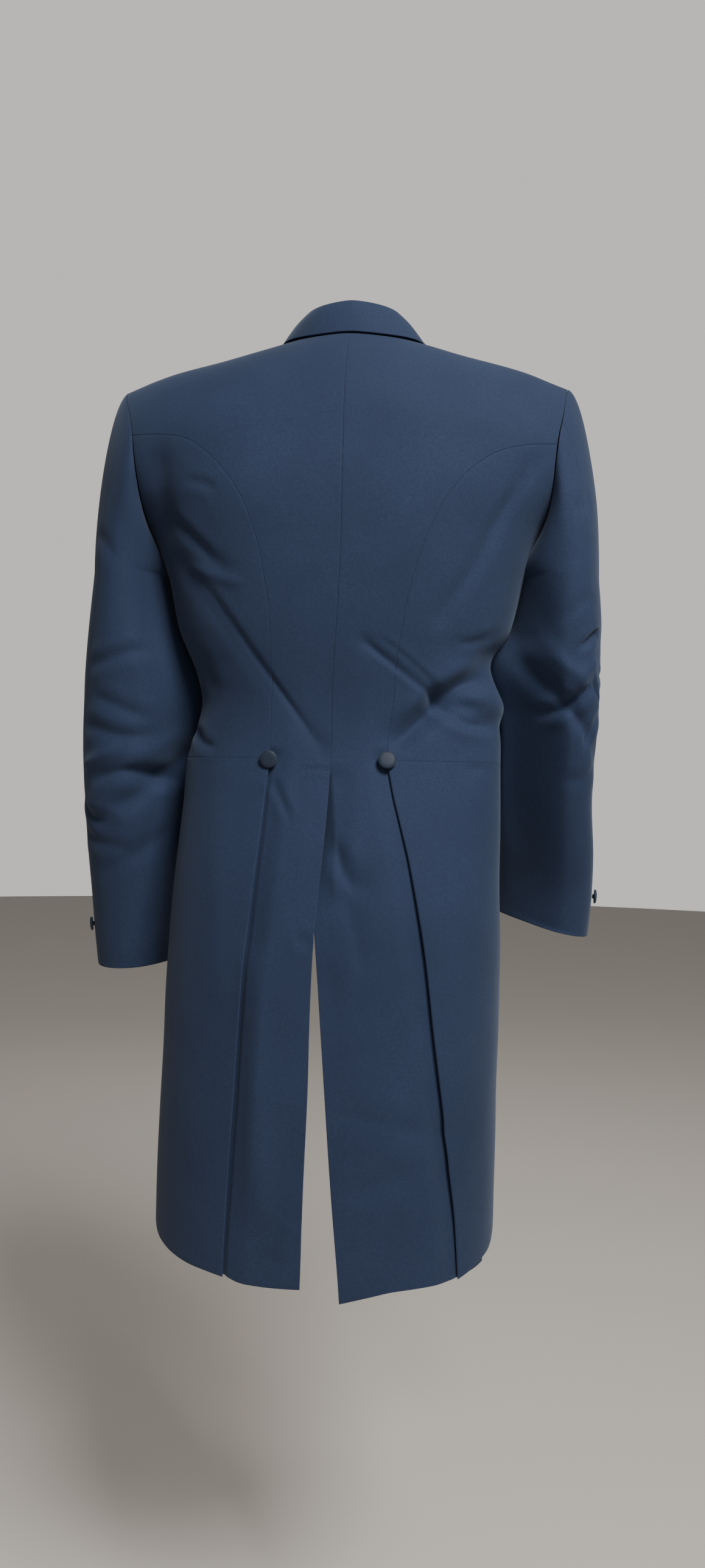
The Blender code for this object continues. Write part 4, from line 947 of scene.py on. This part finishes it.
def satin(name, colour, roughness):
    material, shader = new_material(name)
    ribs = ribs_of(material, "Y", SATIN_THREAD, 0.0, Distortion=0.8)
    threads = add_node(material, "Bump", "Normal", Strength=0.15, Distance=SATIN_DEPTH, Height=ribs)
    feed(
        material, shader, Base_Color=colour, Normal=threads, Roughness=roughness, Anisotropic=0.3,
        Sheen_Weight=0.1,
    )
    return material


WOOL = wool("wool", (0.015, 0.0252, 0.059, 1.0), (0.0215, 0.0355, 0.079, 1.0))
SATIN = satin("lapel_satin", (0.01, 0.013, 0.02, 1.0), 0.32)
LINING = satin("lining_satin", (0.008, 0.009, 0.012, 1.0), 0.42)
BUTTON_CLOTH = wool("button_cloth", (0.015, 0.023, 0.042, 1.0), (0.0215, 0.032, 0.056, 1.0), 0.55)
print("materials:", [material.name for material in bpy.data.materials])

# %% [markdown]
# ## Backs, side bodies, fronts and skirts
#
# The body of a tailcoat is eight panels. The back runs in one piece from the nape to the hem, so
# its tail needs no waist seam; the skirts are sewn on at the waist and fold over the tail's edge
# in a pleat. Each is the patch between its edges, laid on the form and lifted by its folds.

# %% Lay the panels of the body
BODY_MIDDLE = np.array((0.0, 0.0, -0.3))
PANELS = {
    "back": (back_edges, under_laps, (EDGE_ROLL,) * 4),
    "side_body": (side_body_edges, None, (EDGE_ROLL, EDGE_ROLL, WAIST_ROLL, EDGE_ROLL)),
    "front": (front_edges, None, (EDGE_ROLL,) * 4),
    "skirt": (skirt_edges, None, (2 * EDGE_ROLL, EDGE_ROLL, EDGE_ROLL, WAIST_ROLL)),
}


def body_panel(kind, side):
    edges, extra_lift, rolls = PANELS[kind]
    places = patch(*edges(side))
    lift = body_lift(places, side)
    if extra_lift is not None:
        lift = lift + extra_lift(places, side)
    outer = raised(places, side, lift)
    weave = np.stack((unwrapped(outer, 0), -places[..., 1]), axis=-1)
    normals = grid_normals(outer, BODY_MIDDLE)
    cloth_wall(f"{kind}_{side}", outer, normals, "wool", (WOOL, LINING), weave, rolls)


for side in SIDES:
    for kind in PANELS:
        body_panel(kind, side)

# %% [markdown]
# ## Sleeves
#
# A tailored sleeve is two panels, cut so that it hangs in the arm's own bend. At the top it is
# fuller than the armhole, and that fullness rolls over the seam as the sleeve's head. The cap is
# a curve in space from the armhole to the arm's first ring; below it are rings, square to the arm.

# %% Points of a sleeve
def arm_ends(side):
    return ARMS[side][0][0], ARMS[side][-1][0]


def round_arm(turn):
    angle = (2 * math.pi * np.asarray(turn))[..., None]
    return np.cos(angle), np.sin(angle)


def arm_axes(height, side):
    def centre(at):
        x, y = (read(ARMS[side], column, at) for column in (1, 2))
        return np.stack((SIDES[side] * x, y, np.asarray(at, float)), axis=-1)

    down = centre(height - 0.01) - centre(height + 0.01)
    down[..., 0] = 0.0
    down = unit(down)
    across = np.zeros_like(down)
    across[..., 0] = SIDES[side]
    back = np.zeros_like(down)
    back[..., 0] = SIDES[side] * read(ARMS[side], 5, height)
    back[..., 1] = 1.0
    back -= down * np.sum(back * down, axis=-1, keepdims=True)
    lowest = arm_ends(side)[1]
    across[..., 2] -= CUFF_DROP[side] / 0.05 * smooth_step(lowest + 0.12, lowest, height)
    half_width, half_depth = (read(ARMS[side], column, height)[..., None] for column in (3, 4))
    return centre(height), across * half_width, back * half_depth


def sleeve_folds(turn, height, side):
    lift = np.zeros(np.broadcast(turn, height).shape)
    for at_turn, at_height, round_half, slant, depth, width in SLEEVE_FOLDS[side]:
        apart = (turn - at_turn + 0.5) % 1.0 - 0.5
        rise = height - at_height - slant * apart / max(round_half, 0.01)
        lift = lift + depth * np.exp(-((rise / width) ** 2) - (apart / round_half) ** 2)
    return lift


def arm_point(turn, height, side):
    centre, across, back = arm_axes(height, side)
    cosine, sine = round_arm(turn)
    outward = unit(unit(across) * cosine + unit(back) * sine)
    lift = sleeve_folds(turn, height, side)[..., None]
    lift = lift + read(SLEEVE_PRESS[side], 1, height)[..., None] * np.maximum(0, -cosine) ** 2
    off_hollow = np.abs((np.asarray(turn)[..., None] - HOLLOW_TURN[side] + 0.5) % 1.0 - 0.5)
    hollow = read(SLEEVE_HOLLOW[side], 1, height)[..., None] * smooth_step(0.13, 0.0, off_hollow)
    return centre + across * cosine + back * sine + outward * lift - unit(back) * hollow


def cap_point(turn, share, side):
    """The cap turns over at the armhole (0) and falls into the arm's first ring (1)."""
    def seam_point(at):
        return body_point(armhole_place(at, side), side)

    start = seam_point(turn) + np.array((SIDES[side] * 0.0005, 0, 0))
    normal = body_normal(armhole_place(turn, side), side)
    end = arm_point(turn, np.full(np.shape(turn), arm_ends(side)[0]), side)
    off_body = unit(np.cross(seam_point(turn + 0.004) - seam_point(turn - 0.004), normal))
    off_body = off_body * np.where(off_body[..., :1] * SIDES[side] < 0, -1, 1)
    cosine, sine = round_arm(turn)
    under = (1 - cosine) / 2
    falling = unit(np.concatenate((
        SIDES[side] * (0.6 - 0.6 * under - 0.4 * smooth_step(0.65, 0.95, under)),
        0.22 * sine, np.full(under.shape, -0.75),
    ), axis=-1))
    turned = smooth_step(0.0, 0.35, under)
    lead = off_body * (1 - turned) + falling * turned
    drop = np.linalg.norm(start - end, axis=-1, keepdims=True)
    first = start + lead * np.minimum(SLEEVE_HEAD + 0.012 * sine**2, 0.35 * drop)
    inward = -SIDES[side] * 0.01 * smooth_step(0.5, 0.9, under)
    second = end + np.concatenate((inward, 0 * drop, 0.52 * drop * (1 - 0.5 * under)), axis=-1)
    s = np.asarray(share)[..., None]
    return start * (1 - s) ** 3 + first * 3 * (1 - s) ** 2 * s + second * 3 * (1 - s) * s**2 + end * s**3


def sleeve_point(turn, down, side):
    """down is 0 at the armhole, 1 at the foot of the cap and 2 at the cuff."""
    turn, down = np.broadcast_arrays(np.asarray(turn, float), np.asarray(down, float))
    first, last = arm_ends(side)
    height = first + (last - first) * np.maximum(down - 1, 0)
    cap = cap_point(turn, np.minimum(down, 1), side)
    return np.where(down[..., None] <= 1, cap, arm_point(turn, height, side))


# %% Creases of the sleeves, as (depth, width, swell beside, path of (turn of the arm, height))
ARM_GIRTH = 0.34
SLEEVE_CREASES = {
    "left": (
        (-0.0058, 0.0075, 0.35, ((0.13, -0.459), (0.2, -0.455), (0.3, -0.45), (0.46, -0.462))),
        (0.003, 0.006, 0.2, ((0.09, -0.444), (0.16, -0.44), (0.26, -0.424))),
        (0.0026, 0.009, 0.2, ((0.12, -0.482), (0.2, -0.486), (0.3, -0.506))),
        (-0.0022, 0.0042, 0.5, ((0.06, -0.47), (0.1, -0.484), (0.16, -0.5), (0.22, -0.506))),
        (-0.0018, 0.006, 0.5, ((0.08, -0.508), (0.16, -0.524), (0.3, -0.53))),
        (-0.0024, 0.0055, 0.5, ((0.12, -0.345), (0.22, -0.336), (0.36, -0.322))),
        (-0.0024, 0.006, 0.4, ((0.08, -0.398), (0.16, -0.404), (0.26, -0.414), (0.36, -0.41))),
        (-0.002, 0.006, 0.5, ((0.14, -0.37), (0.24, -0.384), (0.34, -0.4))),
        (-0.0014, 0.007, 0.3, ((0.12, -0.205), (0.2, -0.222), (0.26, -0.238))),
        (-0.0015, 0.006, 0.4, ((0.6, -0.36), (0.7, -0.372), (0.82, -0.362))),
        (-0.0013, 0.006, 0.4, ((0.58, -0.41), (0.72, -0.424), (0.86, -0.404))),
        (-0.001, 0.007, 0.4, ((0.55, -0.52), (0.68, -0.528), (0.8, -0.548))),
    ),
    "right": (
        (-0.0046, 0.0036, 0.4, ((0.09, -0.304), (0.125, -0.304), (0.165, -0.311), (0.22, -0.322))),
        (-0.006, 0.0052, 0.35, ((0.145, -0.352), (0.19, -0.36), (0.25, -0.372), (0.36, -0.388))),
        (-0.0034, 0.003, 0.3, ((0.165, -0.346), (0.145, -0.356), (0.125, -0.368), (0.105, -0.376))),
        (0.0034, 0.008, 0.2, ((0.12, -0.33), (0.17, -0.338), (0.24, -0.352))),
        (-0.0022, 0.003, 0.4, ((0.05, -0.338), (0.09, -0.346), (0.13, -0.344))),
        (-0.0026, 0.0045, 0.4, ((0.08, -0.376), (0.12, -0.386), (0.17, -0.4), (0.22, -0.424))),
        (-0.0012, 0.006, 0.4, ((0.12, -0.268), (0.2, -0.276), (0.3, -0.3))),
        (-0.0012, 0.006, 0.4, ((0.1, -0.43), (0.2, -0.448), (0.3, -0.45))),
        (-0.0014, 0.007, 0.4, ((0.13, -0.165), (0.18, -0.182), (0.24, -0.19))),
        (-0.0015, 0.006, 0.4, ((0.6, -0.34), (0.7, -0.356), (0.84, -0.342))),
        (-0.0012, 0.006, 0.4, ((0.56, -0.4), (0.7, -0.404), (0.82, -0.424))),
    ),
}


def sleeve_spots(turn, height):
    return np.stack((turn * ARM_GIRTH, height), axis=-1)


def sleeve_creases(side):
    return [
        (depth, width, swell, sleeve_spots(*np.array(path).T))
        for depth, width, swell, path in SLEEVE_CREASES[side]
    ]


# %% Lay the sleeves
def sleeve_panel(kind, side):
    under = kind == "under_sleeve"
    first, last = (HIND_STATION, FORE_STATION) if under else (FORE_STATION, STATIONS + HIND_STATION)
    downs = np.concatenate((spaced(0, 1, CAP_ROWS), spaced(1, 2, ARM_ROWS)[1:]))[::-1]
    hind, fore = read(HIND_TURN[side], 1, downs), read(FORE_TURN, 1, downs)
    start, finish = (hind, fore) if under else (fore, hind + 1)
    share = spaced(0, 1, last - first)
    turn = start[None] + (finish - start)[None] * share[:, None]
    station = spaced(first, last, last - first)
    at_seam = station_turn(station % STATIONS, side) + station // STATIONS
    near_seam = smooth_step(1 / CAP_ROWS, 0, downs)[None]
    turn = turn * (1 - near_seam) + at_seam[:, None] * near_seam
    down = np.broadcast_to(downs[None], turn.shape)
    outer = sleeve_point(turn, down, side)
    middle = np.stack((
        SIDES[side] * read(ARMS[side], 1, outer[..., 2]),
        read(ARMS[side], 2, outer[..., 2]),
        outer[..., 2] - 0.02 * (down < 1),
    ), axis=-1)
    normals = grid_normals(outer, middle)
    spots = sleeve_spots(turn % 1.0, outer[..., 2])
    lift = crease_lift(spots, sleeve_creases(side)) + soft_unevenness(spots, SLEEVE_WAVES)
    lift = lift * smooth_step(0.0, 0.25, down)
    outer = outer + normals * lift[..., None]
    cloth_wall(f"{kind}_{side}", outer, grid_normals(outer, middle), "wool", (WOOL, LINING))


for side in SIDES:
    for kind in ("top_sleeve", "under_sleeve"):
        sleeve_panel(kind, side)

# %% [markdown]
# ## Collar and lapels
#
# The collar stands up from the neck seam, folds over and falls back down. Its shape is a section
# that changes on its way round the neck: tall at the nape, low and flat where it meets the lapel.
# The lapel is the front's edge turned back on itself, faced with satin, and its fold is a roll
# rather than a crease, so the section of the fold is drawn point by point.

# %% Sections of the collar
def collar_base(along, side):
    neck_share = 0.55
    along = np.asarray(along, float)
    neck = neck_line(np.sin(np.minimum(along / neck_share, 1.0) * math.pi / 2), side)
    start = on_front(NECK_POINT_X, shoulder_rise(NECK_POINT_X), side)
    heights = np.array((-0.012, -0.035, GORGE_Z + 0.0018))
    places = np.vstack((start, on_front(read(FRONT_EDGE, 1, heights), heights, side)))
    edge = along_places(places, np.clip((along - neck_share) / (1 - neck_share), 0, 1))
    return np.where((along <= neck_share)[..., None], neck, edge)


def collar_frame(along, side):
    step = 0.01
    places = collar_base(along, side)
    point, normal = body_point(places, side), body_normal(places, side)
    before, after = (
        body_point(collar_base(np.clip(along + move, 0.0, 1.0), side), side) for move in (-step, step)
    )
    ahead = unit(after - before)
    ahead = np.where((along < step)[..., None], np.array((SIDES[side], 0, 0)), ahead)
    away = unit(np.cross(ahead, normal))
    centre = np.array((read(SWAY, 1, 0.0), -0.02, 0))
    inward = np.sum(away * (point - centre), axis=-1, keepdims=True) < 0
    return point, normal, away * np.where(inward, -1, 1)


def collar_section(along, side):
    """Points across the collar: up the stand, over the fold and down the leaf."""
    point, normal, away = collar_frame(along, side)
    fold_up, fold_in, leaf_out, leaf_lift = (read(COLLAR, i, along)[..., None] for i in (1, 2, 3, 4))
    flat = smooth_step(0.5, 0.95, along)[..., None]
    up = unit(np.array((0, 0, 1)) * (1 - flat) + normal * flat)
    level_out = unit(away * np.array((1, 1, 0)))
    out = unit(level_out * (1 - flat) + away * flat)
    foot = point - normal * 0.001 - away * 0.0012 * flat
    fold = foot + up * fold_up - out * fold_in
    end_point, end_normal, end_away = collar_frame(along - COLLAR_END_SLANT * flat[..., 0], side)
    edge = end_point + end_away * leaf_out + end_normal * (leaf_lift - LEAF_DROP * (1 - flat))
    half_round = 0.003
    over = fold + out * (2 * half_round)
    soft = out * (1 - flat)
    return np.stack((
        foot,
        foot * 0.5 + fold * 0.5 - out * 0.0006,
        fold - up * half_round,
        fold + out * (half_round * 0.35) - up * (half_round * 0.25),
        fold + out * half_round,
        over - up * (half_round * 0.5),
        over * 0.65 + edge * 0.35 + soft * 0.0012 + up * 0.0005,
        over * 0.3 + edge * 0.7 + soft * 0.001 + up * 0.0005,
        edge,
    ), axis=1)


def split_across(sections, pieces=6):
    """Sections of a few points each, made smooth across by a curve through those points."""
    count = sections.shape[1]
    flat = sections.transpose(1, 0, 2).reshape(count, -1)
    rows = np.column_stack((np.arange(count), flat))
    at = np.linspace(0, count - 1, (count - 1) * pieces + 1)
    smooth = np.stack([read(rows[:, [0, i + 1]], 1, at) for i in range(flat.shape[1])], axis=1)
    return smooth.reshape(len(at), sections.shape[0], 3).transpose(1, 0, 2)


# %% Lay the collar
def lay_collar():
    along = spaced(0, 1, COLLAR_STEPS)
    sections = np.concatenate((
        collar_section(along[::-1], "right")[:-1], collar_section(along, "left"),
    ))
    middle = FINER * COLLAR_STEPS
    sections[middle] = (sections[middle - 1] + sections[middle + 1]) / 2
    outer = split_across(sections)
    cloth_wall("collar", outer, -crossed(outer), "wool", (WOOL, WOOL))


lay_collar()

# %% Lay the lapels
def lay_lapel(side):
    tip = (LAPEL_EDGE[-1][1], LAPEL_EDGE[-1][0])
    corner = (float(read(FRONT_EDGE, 1, GORGE_Z)), GORGE_Z)
    fold_z = spaced(BREAK_Z, GORGE_Z, LAPEL_ROWS)
    edge_z = spaced(BREAK_Z, tip[1], LAPEL_ROWS)
    fold = np.column_stack((read(FRONT_EDGE, 1, fold_z), fold_z))
    edge = np.column_stack((read(LAPEL_EDGE, 1, edge_z), edge_z))
    width = np.linalg.norm(edge - fold, axis=1)
    towards = unit(edge - fold)
    narrow = np.minimum(1.0, width / 0.034)
    spots, lifts = [], []
    for across, lift in LAPEL_PROFILE:
        turned = smooth_step(0.0, 0.03, across)
        aim = np.array((1.0, 0.0)) * (1 - turned) + towards * turned
        reach = across * (narrow if across > 0 else np.ones_like(narrow))
        spots.append(fold + aim * reach[:, None])
        lifts.append(np.full(len(fold), lift))
    inner = fold + towards * (LAPEL_PROFILE[-1][0] * narrow)[:, None]
    for share in LAPEL_SHARES:
        spots.append(inner * (1 - share) + edge * share)
        lifts.append(np.full(len(fold), LAPEL_LIFT + 0.0007 * (1 - share)))
    spots, lifts = np.stack(spots, axis=1), np.stack(lifts, axis=1)
    straight = corner[1] + (spots[..., 0] - corner[0]) / (tip[0] - corner[0]) * (tip[1] - corner[1])
    near_top = smooth_step(-0.16, GORGE_Z, fold_z)[:, None]
    height = spots[..., 1] + near_top * (read(LAPEL_TOP, 1, spots[..., 0]) - straight)
    places = on_front(spots[..., 0], height, side)
    outer = split_across(raised(places, side, lifts))
    cloth_wall(f"lapel_{side}", outer, crossed(outer) * -SIDES[side], "satin", (SATIN, WOOL))


for side in SIDES:
    lay_lapel(side)

# %% [markdown]
# ## Covered buttons
#
# A covered button is a domed metal shell with cloth drawn over it and tucked in behind. It is
# turned from half its section with a full spin, then set on its seat, square to the cloth.

# %% Turn the buttons and set them on their seats
BUTTON_RADIUS = 0.009
CUFF_BUTTON_RADIUS = 0.0075
CUFF_BUTTON_UP = 0.045
BUTTON_SHANK = 0.26
FRONT_BUTTONS = ((0.121, -0.298), (0.11, -0.34), (0.102, -0.382))
BUTTON_SECTION = (
    (0.0, 0.4), (0.25, 0.396), (0.5, 0.384), (0.68, 0.364), (0.8, 0.334), (0.89, 0.29), (0.955, 0.232),
    (0.99, 0.165), (1.0, 0.105), (0.985, 0.045), (0.94, 0.005), (0.85, -0.01), (0.45, -0.02),
    (0.32, -0.06), (0.3, -0.26), (0.0, -0.26),
)
BUTTON_SIDES = 48
WAIST_BUTTON_TILT = {"left": -0.32, "right": 0.12}


def set_button(name, seat, normal, radius):
    seat, normal = Vector(seat), Vector(normal)
    bm = bmesh.new()
    section = [bm.verts.new((share * radius, 0, height * radius)) for share, height in BUTTON_SECTION]
    edges = [bm.edges.new(pair) for pair in zip(section, section[1:])]
    bmesh.ops.spin(
        bm, geom=section + edges, axis=(0, 0, 1), cent=(0, 0, 0), angle=2 * math.pi,
        steps=BUTTON_SIDES, use_merge=True,
    )
    bmesh.ops.remove_doubles(bm, verts=bm.verts, dist=1e-6)
    bmesh.ops.recalc_face_normals(bm, faces=bm.faces)
    turn = normal.to_track_quat("Z", "Y").to_matrix().to_4x4()
    at = Matrix.Translation(seat + normal * (BUTTON_SHANK * radius + SEAM_GAP))
    bmesh.ops.transform(bm, matrix=at @ turn, verts=bm.verts)
    uv = bm.loops.layers.uv.new("Cloth")
    across, up = turn.to_3x3() @ Vector((1, 0, 0)), turn.to_3x3() @ Vector((0, 1, 0))
    for face in bm.faces:
        face.smooth = True
        for loop in face.loops:
            loop[uv].uv = ((loop.vert.co - seat).dot(across), (loop.vert.co - seat).dot(up))
    mesh = bpy.data.meshes.new(name)
    bm.to_mesh(mesh)
    bm.free()
    mesh.materials.append(BUTTON_CLOTH)
    mesh.set_sharp_from_angle(angle=math.radians(60))
    add_piece(f"{name}_covered", mesh, "button_cloth", name)


def on_cloth(places, side, lift=0.0):
    return raised(places, side, body_lift(places, side) + lift)


for side in SIDES:
    seat_place = on_back(SIDE_BACK_SEAM[side][0][1], WAIST_Z - 0.0005, side)
    seat = on_cloth(seat_place, side, SEAM_GAP)
    facing = unit(body_normal(seat_place, side) + np.array((0, 0, WAIST_BUTTON_TILT[side])))
    set_button(f"waist_button_{side}", seat, facing, BUTTON_RADIUS)
    for number, (out, height) in enumerate(FRONT_BUTTONS, 1):
        seat_place = on_front(out, height, side)
        seat, facing = on_cloth(seat_place, side), body_normal(seat_place, side)
        set_button(f"front_button_{side}_{number}", seat, facing, BUTTON_RADIUS)
    first, last = arm_ends(side)
    height = np.array(last + CUFF_BUTTON_UP)
    turn = np.array(read(HIND_TURN[side], 1, 1 + (height - first) / (last - first)) + 0.02)
    across, back = arm_axes(height, side)[1:]
    cosine, sine = round_arm(turn)
    outward = unit(across * cosine + back * sine)
    normal = normals_of(lambda a, b: arm_point(a, b, side), turn, height, outward, 0.006, 0.002)
    seat = arm_point(turn, height, side) - normal * SEAM_GAP
    set_button(f"cuff_button_{side}", seat, normal, CUFF_BUTTON_RADIUS)

# %% [markdown]
# ## Stitches across the top of the vent
#
# Where a vent ends, its underlap is caught to the left tail by a short row of hand stitches, or the
# seam above would tear. Each is an arch of silk thread that dives into the cloth at both ends, so a
# curve with a round bevel makes it. They lie a little uneven, as a hand sets them.

# %% Sew the top of the vent
STITCH_COUNT = 9
STITCH_PITCH = 0.003
STITCH_ALONG = np.array((0.0, 0.0006, 0.0016, 0.0022))
STITCH_RISE = np.array((0.0, 0.0, 0.00015, 0.0002))
STITCH_LIFT = np.array((-0.0004, 0.00034, 0.00034, -0.0004))
THREAD_RADIUS = 0.00022


def sew_vent():
    rng = np.random.default_rng(7)
    thread = bpy.data.curves.new("vent_stitches", "CURVE")
    thread.dimensions = "3D"
    thread.bevel_depth = THREAD_RADIUS
    thread.bevel_resolution = 2
    thread.use_fill_caps = True
    thread.resolution_u = thread.render_resolution_u = 4
    for number in range(STITCH_COUNT):
        start = 0.0012 + STITCH_PITCH * number + rng.normal(0, 0.00012)
        height = VENT_TOP_Z + rng.normal(0, 0.0001) + STITCH_RISE
        points = on_cloth(on_back(start + STITCH_ALONG, height, "left"), "left", STITCH_LIFT)
        stitch = thread.splines.new("POLY")
        stitch.points.add(len(points) - 1)
        for vertex, point in zip(stitch.points, points):
            vertex.co = (*point, 1.0)
    thread.materials.append(THREAD)
    add_piece("vent_stitches", thread, "wool")
    print("stitches:", STITCH_COUNT)


THREAD = satin("thread", (0.02, 0.028, 0.05, 1.0), 0.45)
sew_vent()

# %% [markdown]

# %% [markdown]
# ## Floor, light and camera
#
# The coat is shown as in a tailor's photograph: a pale plain floor, soft light from a large window
# high on one side, and two weak lights. The surround is pale where the camera looks and dark at the
# sides, so that the coat's sides fall into shade. The camera stands behind, at waist height.

# %% Floor and surround
FLOOR_Z = -1.45
FLOOR_COLOUR = (0.7, 0.655, 0.6, 1.0)


def lay_floor():
    bm = bmesh.new()
    bmesh.ops.create_circle(bm, cap_ends=True, radius=9.0, segments=96)
    bmesh.ops.translate(bm, vec=(0, 0, FLOOR_Z), verts=bm.verts)
    mesh = bpy.data.meshes.new("floor")
    bm.to_mesh(mesh)
    bm.free()
    material, shader = new_material("floor_paint")
    where = add_node(material, "TexCoord", "Object")
    grain = add_node(material, "TexNoise", "Fac", Vector=where, Scale=3.0)
    darker = tuple(channel * 0.97 for channel in FLOOR_COLOUR[:3]) + (1.0,)
    tint = add_node(material, "Mix", "Result", data_type="RGBA", Factor=grain, A=FLOOR_COLOUR, B=darker)
    feed(material, shader, Base_Color=tint, Roughness=0.9)
    mesh.materials.append(material)
    floor = bpy.data.objects.new("floor", mesh)
    bpy.context.scene.collection.objects.link(floor)


lay_floor()
world = bpy.data.worlds.new("surround")
bpy.context.scene.world = world
world.use_nodes = True
SURROUND_TINT = (1.0, 0.965, 0.915)
SURROUND_TONES = (
    (0.0, 0.7), (0.11, 0.7), (0.26, 0.24), (0.46, 0.16), (0.64, 0.03), (0.78, 0.03), (0.92, 0.14),
)
direction = add_node(world, "TexCoord", "Generated")
from_front = add_node(world, "SeparateXYZ", "Y", Vector=direction)
spread = add_node(world, "MapRange", "Result", From_Min=-1.0, Value=from_front)
tones = add_node(world, "ValToRGB", "Color", Fac=spread)
ramp = tones.node.color_ramp
ramp.interpolation = "EASE"
while len(ramp.elements) < len(SURROUND_TONES):
    ramp.elements.new(0.5)
for stop, (position, tone) in zip(ramp.elements, SURROUND_TONES):
    stop.position = position
    stop.color = tuple(tone * channel for channel in SURROUND_TINT) + (1.0,)
feed(world, world.node_tree.nodes["Background"], Color=tones)

# %% Lights
# name, place, point aimed at, size, watts
LIGHTS = (
    ("window", (-1.05, 1.85, 1.5), (0.0, 0.0, -0.3), 1.0, 120.0),
    ("low_window", (-0.4, 2.4, 0.2), (0.0, 0.0, -0.35), 1.0, 5.0),
    ("front", (0.6, -2.2, 1.0), (0.0, 0.0, -0.4), 1.6, 10.0),
)
for name, spot, aimed_at, size, watts in LIGHTS:
    lamp = bpy.data.lights.new(name, "AREA")
    lamp.size = size
    lamp.energy = watts
    lamp.color = (1.0, 0.98, 0.95)
    holder = bpy.data.objects.new(name, lamp)
    holder.location = spot
    holder.rotation_mode = "QUATERNION"
    holder.rotation_quaternion = (Vector(aimed_at) - Vector(spot)).to_track_quat("-Z", "Y")
    bpy.context.scene.collection.objects.link(holder)

# %% Camera
PHOTO_HEIGHT = 2576
FOCAL_PIXELS = 1935
SENSOR_MM = 24.0
CAMERA_AWAY = 1.228
CAMERA_Z = -0.458
CAMERA_TURN = math.radians(4.8)
CAMERA_ROLL = math.radians(1.2)
CAMERA_ASIDE = 22 / 1576
right = Vector((-math.cos(CAMERA_TURN), -math.sin(CAMERA_TURN), 0))
forward = Vector((math.sin(CAMERA_TURN), -math.cos(CAMERA_TURN), 0))
upright = Vector((0, 0, 1))
picture_x = right * math.cos(CAMERA_ROLL) + upright * math.sin(CAMERA_ROLL)
picture_y = upright * math.cos(CAMERA_ROLL) - right * math.sin(CAMERA_ROLL)
stand = -forward * CAMERA_AWAY + upright * CAMERA_Z + right * CAMERA_ASIDE
lens = bpy.data.cameras.new("camera")
lens.sensor_fit = "VERTICAL"
lens.sensor_height = SENSOR_MM
lens.lens = SENSOR_MM * FOCAL_PIXELS / PHOTO_HEIGHT
camera = bpy.data.objects.new("camera", lens)
axes = Matrix((picture_x, picture_y, -forward)).transposed().to_4x4()
camera.matrix_world = Matrix.Translation(stand) @ axes
bpy.context.scene.collection.objects.link(camera)
bpy.context.scene.camera = camera
print("camera at", [round(value, 3) for value in stand])
